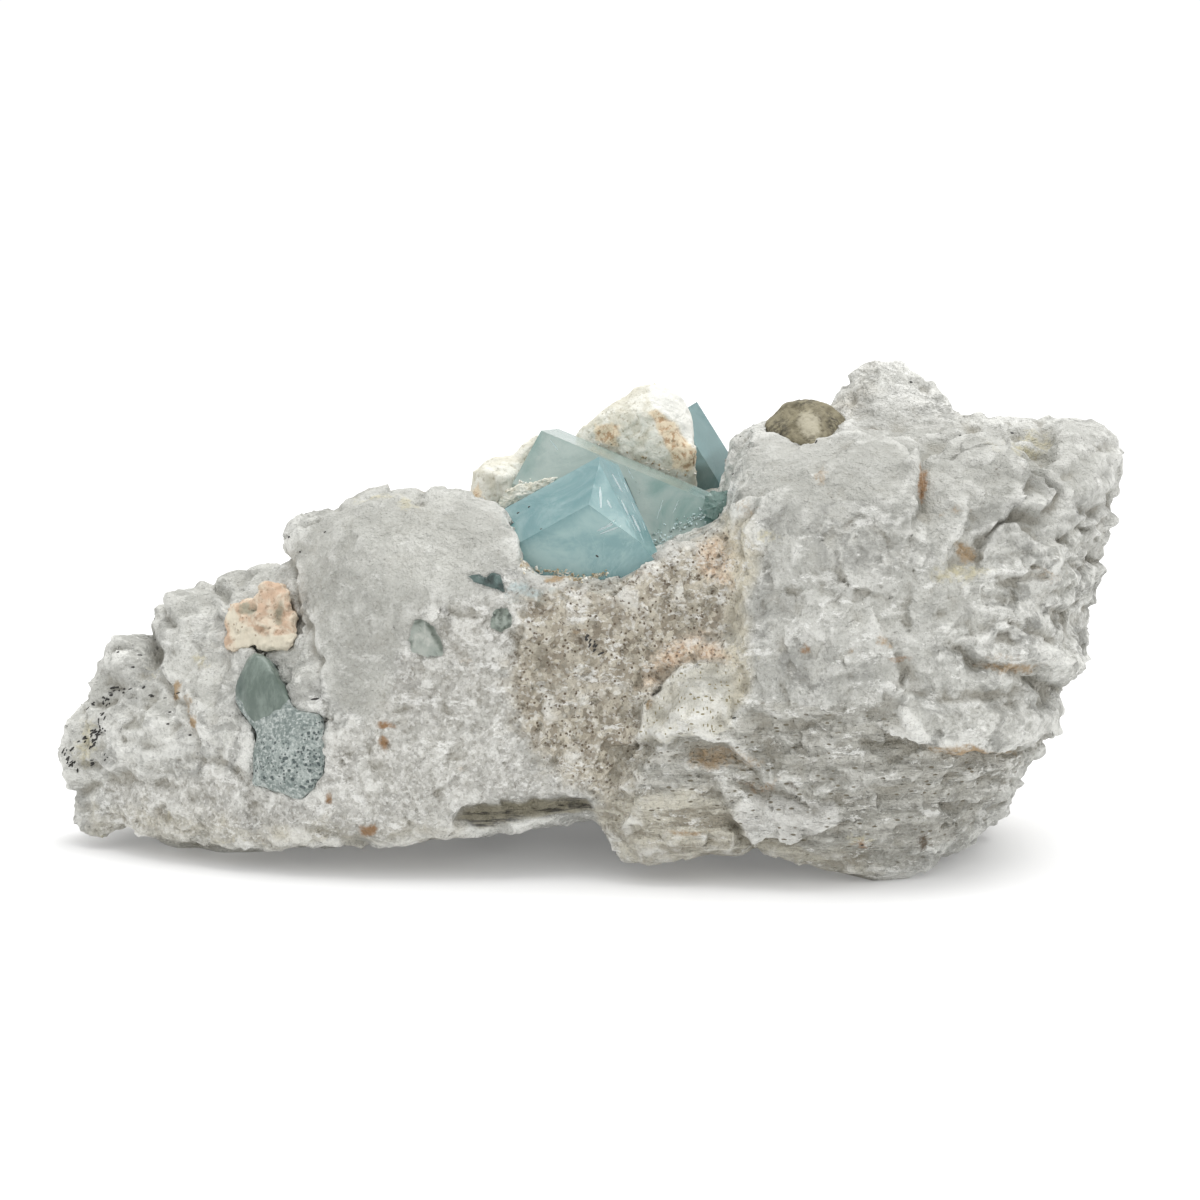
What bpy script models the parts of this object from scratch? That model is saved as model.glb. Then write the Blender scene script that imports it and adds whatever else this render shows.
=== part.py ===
"""Aquamarine specimen: blue and pale beryl crystals grown in a white feldspar and quartz matrix.

Metres, +Z up, +X along the long side, -Y towards the face with the crystals.
Every coordinate below is in millimetres and is scaled once, when a mesh is made.
"""

import math

import bmesh
import bpy
from mathutils import Matrix, Vector, noise

MM = 0.001

# How the broken rock surface is made: the size of its building voxels, then the width and height of
# its broken facets and of its finer roughness
VOXEL = 1.5
ROCK_TRIANGLES = 5600
ROCK_FACETS = (9.0, 0.8)
ROCK_ROUGHNESS = (5.0, 0.4)
NOISE_SEED = Vector((31.7, 12.3, 4.9))

# Clearance between pieces that touch
GAP = 0.4
FLOOR_CUT_DEPTH = 20.0

# The rock as overlapping broken blocks. Each block is the hull of its corner points.
ROCK_BLOCKS = {
    "left_end": (
        (-67.6, 10, 11.5), (-66.5, 6, 15), (-63.6, 8, 19), (-61.8, 10, 23.4), (-58, 15, 24.6),
        (-56, 11, 25.8), (-54.5, 12, 31), (-53, 6, 29), (-46.5, 13, 34), (-46, 4, 31), (-39, 14, 36),
        (-37, 2, 33), (-65.5, 6, 4), (-64, 14, 4), (-55, 22, 3), (-52, 0, 2.5), (-34, -9, 3.5),
        (-34, -10, 22), (-50, -3.5, 12), (-34, 26, 8), (-36, 24, 28), (-50, 22, 22), (-46, 24, 3),
    ),
    "left_tooth": (
        (-66.6, 5, 2.4), (-64, 3, 1), (-66, 9, 3), (-62, 3, 5), (-58, 6, 6), (-58, 10, 2), (-60, 2, 1.2),
    ),
    "quartz_dome": (
        (-39.3, 8, 40), (-38.5, 4, 33), (-36, -1, 29), (-33, 6, 43.6), (-27.5, 6, 46), (-21, 5, 46),
        (-15, 3, 45.2), (-11, 0, 44), (-8.3, -6, 42.4), (-8.3, -9.5, 39.8), (-9, -10.5, 36),
        (-34, -8, 24), (-30, -10, 18), (-12, -12, 28), (-21, -11.5, 35), (-28, -6, 41), (-33, 14, 40),
        (-15, 12, 42), (-30, 20, 25), (-12, 20, 25), (-14, -11.5, 18),
    ),
    "lower_left_slab": (
        (-58, 0, 2.2), (-57, -1, 11), (-50, -5, 2.2), (-35, -11, 3.5), (-35, -11.5, 13), (-19, -12.5, 5),
        (-20, -13, 17), (-5, -12, 6.5), (-4, -12.5, 17), (2, -11.5, 8), (2, -11.5, 24), (-48, 16, 2),
        (-40, 20, 1), (0, 16, 2), (3, 26, 3), (-40, 24, 16), (3, 28, 18), (-30, -9, 24), (-46, 6, 1),
        (-50, -3, 20),
    ),
    "seat_left": (
        (-9, -10.2, 37.8), (-3.5, -10.7, 37), (-12, -11.5, 30), (-12, -11.6, 22), (-3, -11, 18),
        (-12, -11, 8), (-3, -10, 8), (-12, 26, 4), (-3, 26, 4), (-10, 14, 36), (-3, 14, 35),
        (-10, 26, 34), (-3, 26, 34),
    ),
    "seat_middle": (
        (-6, -10.6, 36.2), (0, -10.8, 36.6), (3, -10.8, 37.4), (-6, -11, 18), (6, -11.5, 18),
        (-6, -10, 8), (6, -11, 8), (6, 26, 4), (-6, 26, 4), (6, 14, 34), (-6, 14, 34), (6, 26, 33),
        (-6, 26, 33), (6, -10.8, 33),
    ),
    "seat_right": (
        (1, -10.6, 36.6), (4, -10.5, 38.2), (6.5, -10.2, 39.6), (9, -9.8, 40.5), (12.5, -9, 42),
        (15.5, -8, 43.2), (18.5, -7, 44.2), (3, -11, 18), (18, -11.5, 18), (18, -11, 8),
        (19, 0, 42.5), (12, 0, 39.5), (19, 14, 40), (5, 14, 34), (19, 26, 38), (18, 26, 4), (4, 26, 4),
        (4, 26, 34),
    ),
    "rear_seat": (
        (4, 23, 40), (4, 33, 41), (18, 22, 44), (20, 33, 46), (10, 36, 36), (4, 36, 30), (20, 37, 30),
        (4, 22, 30), (20, 22, 30), (16, 33, 46.5),
    ),
    "foot_lobe": (
        (1, -10, 5.6), (3, -12.5, 2), (4, -13.5, 9), (8, -15.5, 3.8), (6, -15.5, 15), (9, -16, 20),
        (13, -16.5, 24), (18, -15.5, 22), (20, -15.5, 6), (13, -14.5, 4.8), (22, -13, 4), (5, -5, 3.5),
        (12, 0, 26), (20, 0, 26), (12, 5, 2),
    ),
    "right_block": (
        (17.8, -11.2, 44.4), (17.2, -13, 24), (18.5, -14, 12), (16, 10, 47.8), (17, 12.5, 51.4),
        (19.4, 0, 46.6),
        (23, 13, 54.6), (32, 14, 54.8), (45, 13, 53), (51, 12, 52.4), (59, 12, 52.4), (65.6, 12, 53.6),
        (67.2, 10, 50), (66.4, 10, 44.8), (65, 8, 40.6), (63, 6, 32.7), (62, 5, 26.5), (59, 4, 20.4),
        (57, 2, 14.4), (52, -2, 7.7), (45.5, -7, 3), (38.8, -12, 0.2), (33, -13.5, 1), (24, -13, 3.4),
        (29, -18, 31), (44, -17, 32), (56, -10, 36), (40, -18, 16), (28, -17.5, 12), (51, -11, 14),
        (22, -12.5, 46.6), (35, -12.5, 47), (50, -9, 46.5), (60, -2, 46.5), (60, 24, 44),
        (55, 30, 28), (50, 32, 12), (30, 36, 10), (20, 34, 20), (22, 24, 48), (45, 25, 48), (50, 26, 2),
        (30, 30, 1), (50, 8, 2), (20, 20, 2),
    ),
    "right_peak": (
        (31, 15, 55), (32, 16, 59), (34.3, 16, 61.3), (39.8, 16, 60.6), (43, 16, 58.5), (45, 14, 55),
        (45.4, 12, 51), (30, 9, 50), (37, 9, 53), (33, 22, 57), (42, 22, 55), (39, 27, 48), (29, 22, 48),
    ),
    "upper_plate": (
        (24, -12, 42), (25, -7, 50), (28, 3, 53), (40, 2, 53), (42, -8, 50.5), (43.4, -14.4, 43),
        (40, -15.8, 37), (27, -15.2, 37), (30, 4, 44), (40, 4, 44),
    ),
    "right_plate": (
        (45.5, -13, 43), (46, -5, 51), (55, -3, 51), (58, -5.5, 45), (56, -10, 39), (47, -14.5, 38),
        (46, 4, 44), (55, 4, 44),
    ),
    "shelf": (
        (39, -17, 18), (38, -18.5, 15.8), (41, -19.3, 14.2), (56, -6.5, 16.8), (58, -4, 19.5),
        (50, -13.5, 20.5), (44, -17.5, 20), (46, -6, 17), (50, -12, 15.4),
    ),
    "knuckle": (
        (47, -15.5, 27), (49, -15, 24), (58.5, -6, 23), (60.5, -2, 26), (58, -7.5, 29), (51, -13.5, 30),
        (54, -2, 26),
    ),
    "lower_chip": (
        (22, -16, 12), (21.5, -17, 8), (25, -17.2, 5.6), (35, -16.8, 5.2), (38, -16, 9),
        (33, -18, 12.5), (27, -18, 13), (30, -8, 10),
    ),
    "foot_ridge": (
        (14, -14.5, 5), (19, -14.6, 3.6), (25, -14.6, 2.6), (32, -14, 0.8), (36, -13.5, 0.4),
        (36, -14.5, 6), (20, -15.6, 8), (14, -14.6, 8), (20, -6, 3), (34, -6, 2),
    ),
    "back": (
        (-46, 24, 22), (-44, 28, 8), (-22, 36, 5), (0, 39, 7), (30, 38, 9), (46, 33, 20), (40, 31, 38),
        (12, 31, 40), (-16, 29, 37), (-36, 24, 31), (-30, 27, 2), (20, 32, 2), (-36, 10, 12),
        (46, 8, 12), (0, 10, 36),
    ),
}

# The feet that the rock stands on, each worn flat at the floor: centre x, centre y, half widths.
# FOOT_OUTLINE is how far each corner of a foot's outline is from round.
FEET = {
    "foot_left": (-46, 6, 8, 5.5),
    "foot_right": (34.5, -7, 5, 4),
    "foot_back": (6, 25, 13, 7.5),
    "foot_back_right": (38, 20, 7.5, 6.5),
}
FOOT_HEIGHT = 6.0
FOOT_BELOW_FLOOR = 1.2
FOOT_SPREAD = 1.35
FOOT_OUTLINE = (1.0, 0.82, 1.08, 0.9, 1.12, 0.78, 1.02, 0.94)

# The cream feldspar behind the crystals: a low shoulder on the left and a tall knob on the right
CREAM_BLOCKS = {
    "shoulder": (
        (-16, 14, 44.5), (-14.7, 13, 47.4), (-12.9, 14, 48.9), (-10, 14, 48.5), (-9.4, 16, 47),
        (-9.4, 22, 46), (-14, 22, 45), (-15, 11, 41), (-9, 12, 42), (-12, 10.5, 46.5), (-9, 11, 46),
        (-8, 22, 38), (-14, 20, 38), (-8, 12, 40),
    ),
    "shoulder_top": (
        (-10, 14, 48.2), (-9, 14, 50.4), (-7.2, 15, 51.9), (-4, 17, 50), (-4, 22, 46), (-10, 20, 45),
        (-5, 13, 42), (-6, 12, 46), (-9.6, 12, 46), (-5, 22, 38), (-10, 20, 38), (-9, 12, 41),
    ),
    "knob": (
        (-2.5, 21, 50.4), (2, 21, 54.6), (5, 21, 56.4), (8.2, 21, 57.8), (11.4, 21, 55.6),
        (12.6, 20.5, 53.4), (12.2, 19, 51.4), (13.2, 18, 49.4), (13.2, 17, 46.8), (9, 17.5, 46),
        (2, 18.5, 48.5), (6, 18, 53), (10, 18, 52), (-2, 28, 47), (8, 29, 52), (13, 27, 50),
        (-3, 20, 40), (13, 19, 38), (0, 29, 38), (12, 29, 38), (8, 26, 56),
    ),
    "bridge": (
        (-8, 18, 44), (2, 20, 46), (2, 26, 47), (-8, 24, 45), (-6, 18, 38), (3, 20, 38), (3, 27, 38),
        (-6, 26, 38),
    ),
}
CREAM_VOXEL = 1.0
CREAM_TRIANGLES = 700
CREAM_FACETS = (4.5, 0.45)
CREAM_ROUGHNESS = (2.6, 0.3)

# The peach feldspar nodule set in the left part of the face
PEACH_BLOCKS = {
    "left_half": (
        (-45.3, 0.4, 30.6), (-45.6, -0.6, 27), (-44, -0.6, 32), (-40.5, -2.2, 32.8), (-40, -3.6, 27.4),
        (-44, -2, 26), (-43, 6, 27), (-43, 6, 32), (-40, 6, 29),
    ),
    "right_half": (
        (-41.2, -1.2, 35), (-37.8, -1.8, 35), (-35.8, -3.8, 30), (-36.2, -5, 27.2),
        (-41, -4, 26.4), (-41.5, -2.6, 31), (-38, 6, 27), (-38, 6, 33),
    ),
}
PEACH_VOXEL = 0.55
PEACH_TRIANGLES = 360
PEACH_FACETS = (2.2, 0.3)
PEACH_ROUGHNESS = (1.2, 0.15)

# The smoky quartz on the right crest
SMOKY_BLOCKS = {
    "cap": (
        (21, 10.5, 53), (23.6, 10.5, 55), (26.2, 10.5, 56.4), (29.2, 10.5, 56), (31.6, 10.5, 54.2),
        (32.2, 10.5, 53), (24, 15, 55), (30, 15, 54.5), (25, 4, 51), (28.5, 3, 51), (22, 8, 52),
        (25, 12, 48), (30, 12, 48), (30.6, 7.5, 52.5), (27, 5.5, 53.4),
    ),
}
SMOKY_VOXEL = 0.6
SMOKY_TRIANGLES = 300
SMOKY_FACETS = (3.5, 0.35)
SMOKY_ROUGHNESS = (2.0, 0.1)

# The etched beryl: a smooth broken prism above and a mass eaten into grains below
ETCHED_BLOCKS = {
    "prism": (
        (-41.1, -6.2, 27.6), (-43.6, -5.6, 23.9), (-43.8, -6, 21), (-41.4, -7.2, 17.8), (-36, -9, 21),
        (-38.8, -8, 24.6), (-39.6, -7, 26.8), (-40.6, -8.4, 21.6), (-41, 2, 25), (-42, 2, 19), (-37, 2, 21),
    ),
    "grains": (
        (-41, -7.4, 18.2), (-36, -9.6, 20.4), (-32.4, -10.4, 20.4), (-32, -11.4, 13), (-35, -11.4, 9.7),
        (-41.8, -9, 11), (-38, -11, 15), (-40, 2, 12), (-33, 0, 18), (-34, 0, 11),
    ),
}
ETCHED_VOXEL = 0.7
ETCHED_TRIANGLES = 480
ETCHED_FACETS = (3.0, 0.3)
ETCHED_ROUGHNESS = (1.6, 0.15)

# Beryl crystals. Each is a six-sided prism: a point on its middle line, the direction of that line,
# how far its front face is tilted up, the distance of its faces from the middle line, how far it runs
# before and after the point, and any plane that it is broken along (a point and the outward normal).
CRYSTALS = {
    "aquamarine_front": {
        "middle": (-3.0, 1.5, 36.8),
        "along": (0.864, -0.10, 0.493),
        "tilt": 6.0,
        "apothem": 8.4,
        "before": 9.5,
        "after": 13.0,
        "broken": (
            ((5.65, -1.7, 44.3), (0.93, 0.10, 0.36)),
            ((5.9, -8.6, 40.7), (0.69, -0.26, 0.67)),
            ((-0.1, -6.9, 45.1), (0.42, -0.49, 0.76)),
        ),
    },
    "aquamarine_back": {
        "middle": (3.0, 13.0, 40.9),
        "along": (0.899, -0.27, -0.345),
        "tilt": 35.6,
        "apothem": 7.0,
        "before": 12.1,
        "after": 13.6,
        "broken": (((17.4, 4.0, 44.6), (0.62, -0.66, 0.42)),),
    },
    "aquamarine_rear": {
        "middle": (13.0, 28.0, 47.9),
        "along": (-0.53, 0.12, 0.84),
        "tilt": -9.0,
        "apothem": 3.4,
        "before": 12.0,
        "after": 4.6,
        "broken": (),
    },
}

# Small beryls set in the face. The same form, seen end on or lying just under the surface.
SMALL_BERYLS = {
    "beryl_teal": {
        "middle": (-12.9, -9.8, 36.2),
        "along": (0.93, -0.10, -0.35),
        "tilt": 10.0,
        "apothem": 1.3,
        "before": 2.2,
        "after": 2.1,
        "broken": (),
    },
    "beryl_round": {
        "middle": (-10.9, -10.4, 31.8),
        "along": (-0.15, -0.95, 0.20),
        "tilt": 12.0,
        "apothem": 1.3,
        "before": 3.2,
        "after": 1.2,
        "broken": (),
    },
    "beryl_pale": {
        "middle": (-19.8, -10.2, 29.6),
        "along": (0.62, -0.20, -0.72),
        "tilt": 18.0,
        "apothem": 1.7,
        "before": 2.4,
        "after": 2.5,
        "broken": (),
    },
}

# Colour, roughness, metallic and transmission
FINISHES = {
    "white_feldspar": ((0.56, 0.55, 0.51), 0.75, 0.0, 0.0),
    "cream_feldspar": ((0.66, 0.62, 0.50), 0.7, 0.0, 0.0),
    "peach_feldspar": ((0.62, 0.47, 0.35), 0.8, 0.0, 0.0),
    "smoky_quartz": ((0.35, 0.31, 0.23), 0.35, 0.0, 0.3),
    "blue_beryl": ((0.42, 0.66, 0.69), 0.08, 0.0, 0.8),
    "pale_beryl": ((0.58, 0.70, 0.66), 0.12, 0.0, 0.8),
    "green_beryl": ((0.25, 0.36, 0.33), 0.3, 0.0, 0.5),
}


def clear_scene():
    for obj in list(bpy.data.objects):
        bpy.data.objects.remove(obj)


def material(name):
    found = bpy.data.materials.get(name)
    if found:
        return found
    colour, roughness, metallic, transmission = FINISHES[name]
    made = bpy.data.materials.new(name)
    made.use_nodes = True
    shader = made.node_tree.nodes["Principled BSDF"]
    shader.inputs["Base Color"].default_value = (*colour, 1)
    shader.inputs["Roughness"].default_value = roughness
    shader.inputs["Metallic"].default_value = metallic
    shader.inputs["Transmission Weight"].default_value = transmission
    return made


def add_object(name, bm, finish=None):
    """An object from a bmesh in millimetres."""
    bmesh.ops.scale(bm, vec=(MM, MM, MM), verts=bm.verts)
    bmesh.ops.recalc_face_normals(bm, faces=bm.faces)
    mesh = bpy.data.meshes.new(name)
    bm.to_mesh(mesh)
    bm.free()
    obj = bpy.data.objects.new(name, mesh)
    bpy.context.collection.objects.link(obj)
    if finish:
        mesh.materials.append(material(finish))
    return obj


def add_hull(bm, points):
    verts = [bm.verts.new(p) for p in points]
    made = bmesh.ops.convex_hull(bm, input=verts)
    spare = [v for v in made["geom_interior"] if isinstance(v, bmesh.types.BMVert)]
    bmesh.ops.delete(bm, geom=spare, context="VERTS")


def apply_modifiers(obj):
    graph = bpy.context.evaluated_depsgraph_get()
    graph.update()
    made = bpy.data.meshes.new_from_object(obj.evaluated_get(graph))
    obj.modifiers.clear()
    obj.data = made


def fuse(obj, voxel):
    """Makes overlapping closed shapes one skin."""
    remesh = obj.modifiers.new("fuse", "REMESH")
    remesh.mode = "VOXEL"
    remesh.voxel_size = voxel * MM
    smooth = obj.modifiers.new("soften", "SMOOTH")
    smooth.factor = 0.5
    smooth.iterations = 2
    apply_modifiers(obj)


def facet_height(place):
    """The height, within -1 and 1, of the tilted facet that the place is on. Facets are 1 wide."""
    corner = noise.voronoi(place)[1][0]
    tilt = noise.cell_vector(corner * 57.3) - Vector((0.5, 0.5, 0.5))
    return (place - corner).dot(tilt) * 2


def roughen(obj, facets, roughness):
    """Breaks the skin into tilted facets and adds finer noise. Each is a width and a height."""
    mesh = obj.data
    moved = []
    for vert in mesh.vertices:
        place = vert.co / MM
        height = facet_height(place / facets[0] + NOISE_SEED) * facets[1]
        height += noise.noise(place / roughness[0] + NOISE_SEED) * roughness[1]
        moved.append(vert.co + vert.normal * height * MM)
    for vert, place in zip(mesh.vertices, moved):
        vert.co = place
    mesh.update()


def thin_out(obj, triangles):
    now = sum(len(p.vertices) - 2 for p in obj.data.polygons)
    thinner = obj.modifiers.new("thin_out", "DECIMATE")
    thinner.ratio = min(1.0, triangles / now)
    thinner.use_collapse_triangulate = True
    apply_modifiers(obj)


def rock(name, blocks, voxel, facets, roughness, triangles, finish):
    """Broken mineral made of overlapping blocks."""
    bm = bmesh.new()
    for points in blocks.values():
        add_hull(bm, points)
    obj = add_object(name, bm)
    fuse(obj, voxel)
    roughen(obj, facets, roughness)
    thin_out(obj, triangles)
    obj.data.materials.clear()
    obj.data.materials.append(material(finish))
    return obj


def foot_corners(x, y, half_x, half_y):
    """A block that is wider at the top and reaches below the floor, where it will be cut flat."""
    corners = []
    for spread, z in ((1.0, -FOOT_BELOW_FLOOR), (FOOT_SPREAD, FOOT_HEIGHT)):
        for i, length in enumerate(FOOT_OUTLINE):
            angle = math.tau * i / len(FOOT_OUTLINE)
            reach = length * spread
            corners.append((x + half_x * reach * math.cos(angle), y + half_y * reach * math.sin(angle), z))
    return corners


def crystal(name, form, finish):
    """A prism cut out of a large block by its face planes, its two ends and its breaks."""
    along = Vector(form["along"]).normalized()
    middle = Vector(form["middle"])
    front = along.cross(Vector((0, 0, 1))).normalized()
    if front.y > 0:
        front = -front
    lifts = -1 if along.cross(front).z < 0 else 1
    normals = [
        Matrix.Rotation(math.radians(form["tilt"] + 60 * i) * lifts, 3, along) @ front for i in range(6)
    ]
    planes = [(middle + normal * form["apothem"], normal) for normal in normals]
    planes.append((middle - along * form["before"], -along))
    planes.append((middle + along * form["after"], along))
    planes.extend((Vector(point), Vector(normal).normalized()) for point, normal in form["broken"])
    bm = bmesh.new()
    bmesh.ops.create_cube(bm, size=200, matrix=Matrix.Translation(middle))
    for point, normal in planes:
        geometry = bm.verts[:] + bm.edges[:] + bm.faces[:]
        cut = bmesh.ops.bisect_plane(bm, geom=geometry, plane_co=point, plane_no=normal, clear_outer=True)
        edges = [e for e in cut["geom_cut"] if isinstance(e, bmesh.types.BMEdge)]
        bmesh.ops.edgenet_fill(bm, edges=edges)
    return add_object(name, bm, finish)


def space_for(obj):
    """The same shape a little larger, so that what it cuts stays clear of it."""
    cutter = obj.copy()
    cutter.data = obj.data.copy()
    cutter.name = obj.name + "_space"
    bpy.context.collection.objects.link(cutter)
    grow = cutter.modifiers.new("grow", "DISPLACE")
    grow.strength = GAP * MM
    grow.mid_level = 0
    apply_modifiers(cutter)
    cutter.hide_render = True
    cutter.display_type = "WIRE"
    return cutter


def space_for_crystal(name, form):
    """The same prism with every face moved out by the clearance."""
    larger = dict(form)
    larger["apothem"] = form["apothem"] + GAP
    larger["before"] = form["before"] + GAP
    larger["after"] = form["after"] + GAP
    larger["broken"] = [
        (Vector(point) + Vector(normal).normalized() * GAP, normal) for point, normal in form["broken"]
    ]
    cutter = crystal(name + "_space", larger, "white_feldspar")
    cutter.hide_render = True
    cutter.display_type = "WIRE"
    return cutter


def carve(obj, cutter):
    """Takes the cutter's space out of obj."""
    cut = obj.modifiers.new("cut_" + cutter.name, "BOOLEAN")
    cut.operation = "DIFFERENCE"
    cut.solver = "EXACT"
    cut.object = cutter


def floor_block():
    """Everything below the floor."""
    bm = bmesh.new()
    size = Matrix.Diagonal((300, 300, FLOOR_CUT_DEPTH, 1))
    bmesh.ops.create_cube(bm, size=1, matrix=Matrix.Translation((0, 0, -FLOOR_CUT_DEPTH / 2)) @ size)
    below = add_object("below_floor", bm)
    below.hide_render = True
    below.display_type = "WIRE"
    return below


def centre(widest):
    """Moves every mesh so that the middle of the widest one stands over the origin."""
    spots = [vert.co for vert in widest.data.vertices]
    shift = [-(min(spot[i] for spot in spots) + max(spot[i] for spot in spots)) / 2 for i in (0, 1)]
    for obj in bpy.data.objects:
        obj.data.transform(Matrix.Translation((*shift, 0)))


def build():
    clear_scene()
    blocks = dict(ROCK_BLOCKS)
    blocks.update({name: foot_corners(*foot) for name, foot in FEET.items()})
    matrix = rock(
        "matrix", blocks, VOXEL, ROCK_FACETS, ROCK_ROUGHNESS, ROCK_TRIANGLES, "white_feldspar"
    )
    carve(matrix, floor_block())
    cream = rock(
        "cream_feldspar", CREAM_BLOCKS, CREAM_VOXEL, CREAM_FACETS, CREAM_ROUGHNESS,
        CREAM_TRIANGLES, "cream_feldspar",
    )
    peach = rock(
        "peach_feldspar", PEACH_BLOCKS, PEACH_VOXEL, PEACH_FACETS, PEACH_ROUGHNESS,
        PEACH_TRIANGLES, "peach_feldspar",
    )
    smoky = rock(
        "smoky_quartz", SMOKY_BLOCKS, SMOKY_VOXEL, SMOKY_FACETS, SMOKY_ROUGHNESS,
        SMOKY_TRIANGLES, "smoky_quartz",
    )
    etched = rock(
        "beryl_etched", ETCHED_BLOCKS, ETCHED_VOXEL, ETCHED_FACETS, ETCHED_ROUGHNESS,
        ETCHED_TRIANGLES, "green_beryl",
    )
    spaces = {inner.name: space_for(inner) for inner in (cream, peach, smoky, etched)}
    for space in spaces.values():
        carve(matrix, space)
    carve(etched, spaces["peach_feldspar"])
    for name, form in SMALL_BERYLS.items():
        crystal(name, form, "green_beryl")
        carve(matrix, space_for_crystal(name, form))
    for name, form in CRYSTALS.items():
        crystal(name, form, "pale_beryl" if name == "aquamarine_back" else "blue_beryl")
        space = space_for_crystal(name, form)
        carve(matrix, space)
        carve(cream, space)
        if name == "aquamarine_front":
            front_space = space
    carve(bpy.data.objects["aquamarine_back"], front_space)
    centre(matrix)


build()
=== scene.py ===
"""The looks of the aquamarine specimen: detailed rock, clear crystals, grains, floor and light.

Places on the specimen are given as the photo shows them, across and down on a square of VIEW_SIDE,
and are cast from the viewpoint onto the surface. Other lengths are in millimetres. Tones are given
as the screen shows them, 0 to 255, or as shares of the light that the surface gives back, up to 1.
"""

import math
import random

import bmesh
import bpy
import numpy as np
from mathutils import Matrix, Vector, noise
from mathutils.bvhtree import BVHTree


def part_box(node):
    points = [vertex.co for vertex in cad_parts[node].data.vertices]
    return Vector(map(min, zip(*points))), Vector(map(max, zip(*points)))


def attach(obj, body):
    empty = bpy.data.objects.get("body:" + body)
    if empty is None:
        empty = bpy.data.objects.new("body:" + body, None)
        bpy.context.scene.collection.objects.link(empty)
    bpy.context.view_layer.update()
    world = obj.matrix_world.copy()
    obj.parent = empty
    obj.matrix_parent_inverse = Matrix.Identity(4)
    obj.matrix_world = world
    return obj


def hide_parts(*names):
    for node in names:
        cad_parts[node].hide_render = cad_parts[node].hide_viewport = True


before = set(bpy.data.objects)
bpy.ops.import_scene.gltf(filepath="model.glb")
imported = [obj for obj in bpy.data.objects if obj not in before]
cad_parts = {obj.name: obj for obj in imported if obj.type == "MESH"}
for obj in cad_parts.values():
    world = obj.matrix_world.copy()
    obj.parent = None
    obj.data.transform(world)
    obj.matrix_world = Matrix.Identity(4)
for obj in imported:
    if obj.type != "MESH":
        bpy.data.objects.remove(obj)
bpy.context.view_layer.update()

MM = 0.001
SEED = Vector((5.3, 17.1, 2.7))

# The photo's view: its side in pixels, and how many of them a millimetre takes at the target.
VIEW_SIDE = 1200
VIEW_SCALE = 8.115
VIEW_TILT = math.radians(10)
VIEW_DISTANCE = 420.0
VIEW_TARGET = Vector((1.35, -10.03, 32.5))
VIEW_FORWARD = Vector((0, math.cos(VIEW_TILT), -math.sin(VIEW_TILT)))
VIEW_UP = Vector((0, math.sin(VIEW_TILT), math.cos(VIEW_TILT)))
VIEW_EYE = VIEW_TARGET - VIEW_FORWARD * VIEW_DISTANCE
SENSOR = 36

ROCK_VOXEL = 0.43
ROCK_TRIANGLES = 194000
LAYER_THICKNESS = 2.1
WORN_EDGE = 0.16
CRYSTAL_EDGE = 0.7
BERYL_IOR = 1.577
SHEET_THICKNESS = 0.12

FLOOR_TONE = (0.76, 0.76, 0.76)
FLOOR_GLOW = 0.14
SKY_STRENGTH = 1.05
SUN_STRENGTH = 1.9
SUN_ANGLE = math.radians(50)
SUN_WAY = Vector((-0.22, -0.12, -1))

ROCK_WHITE = (226, 226, 221)
ROCK_DARK = (122, 121, 112)

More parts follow.
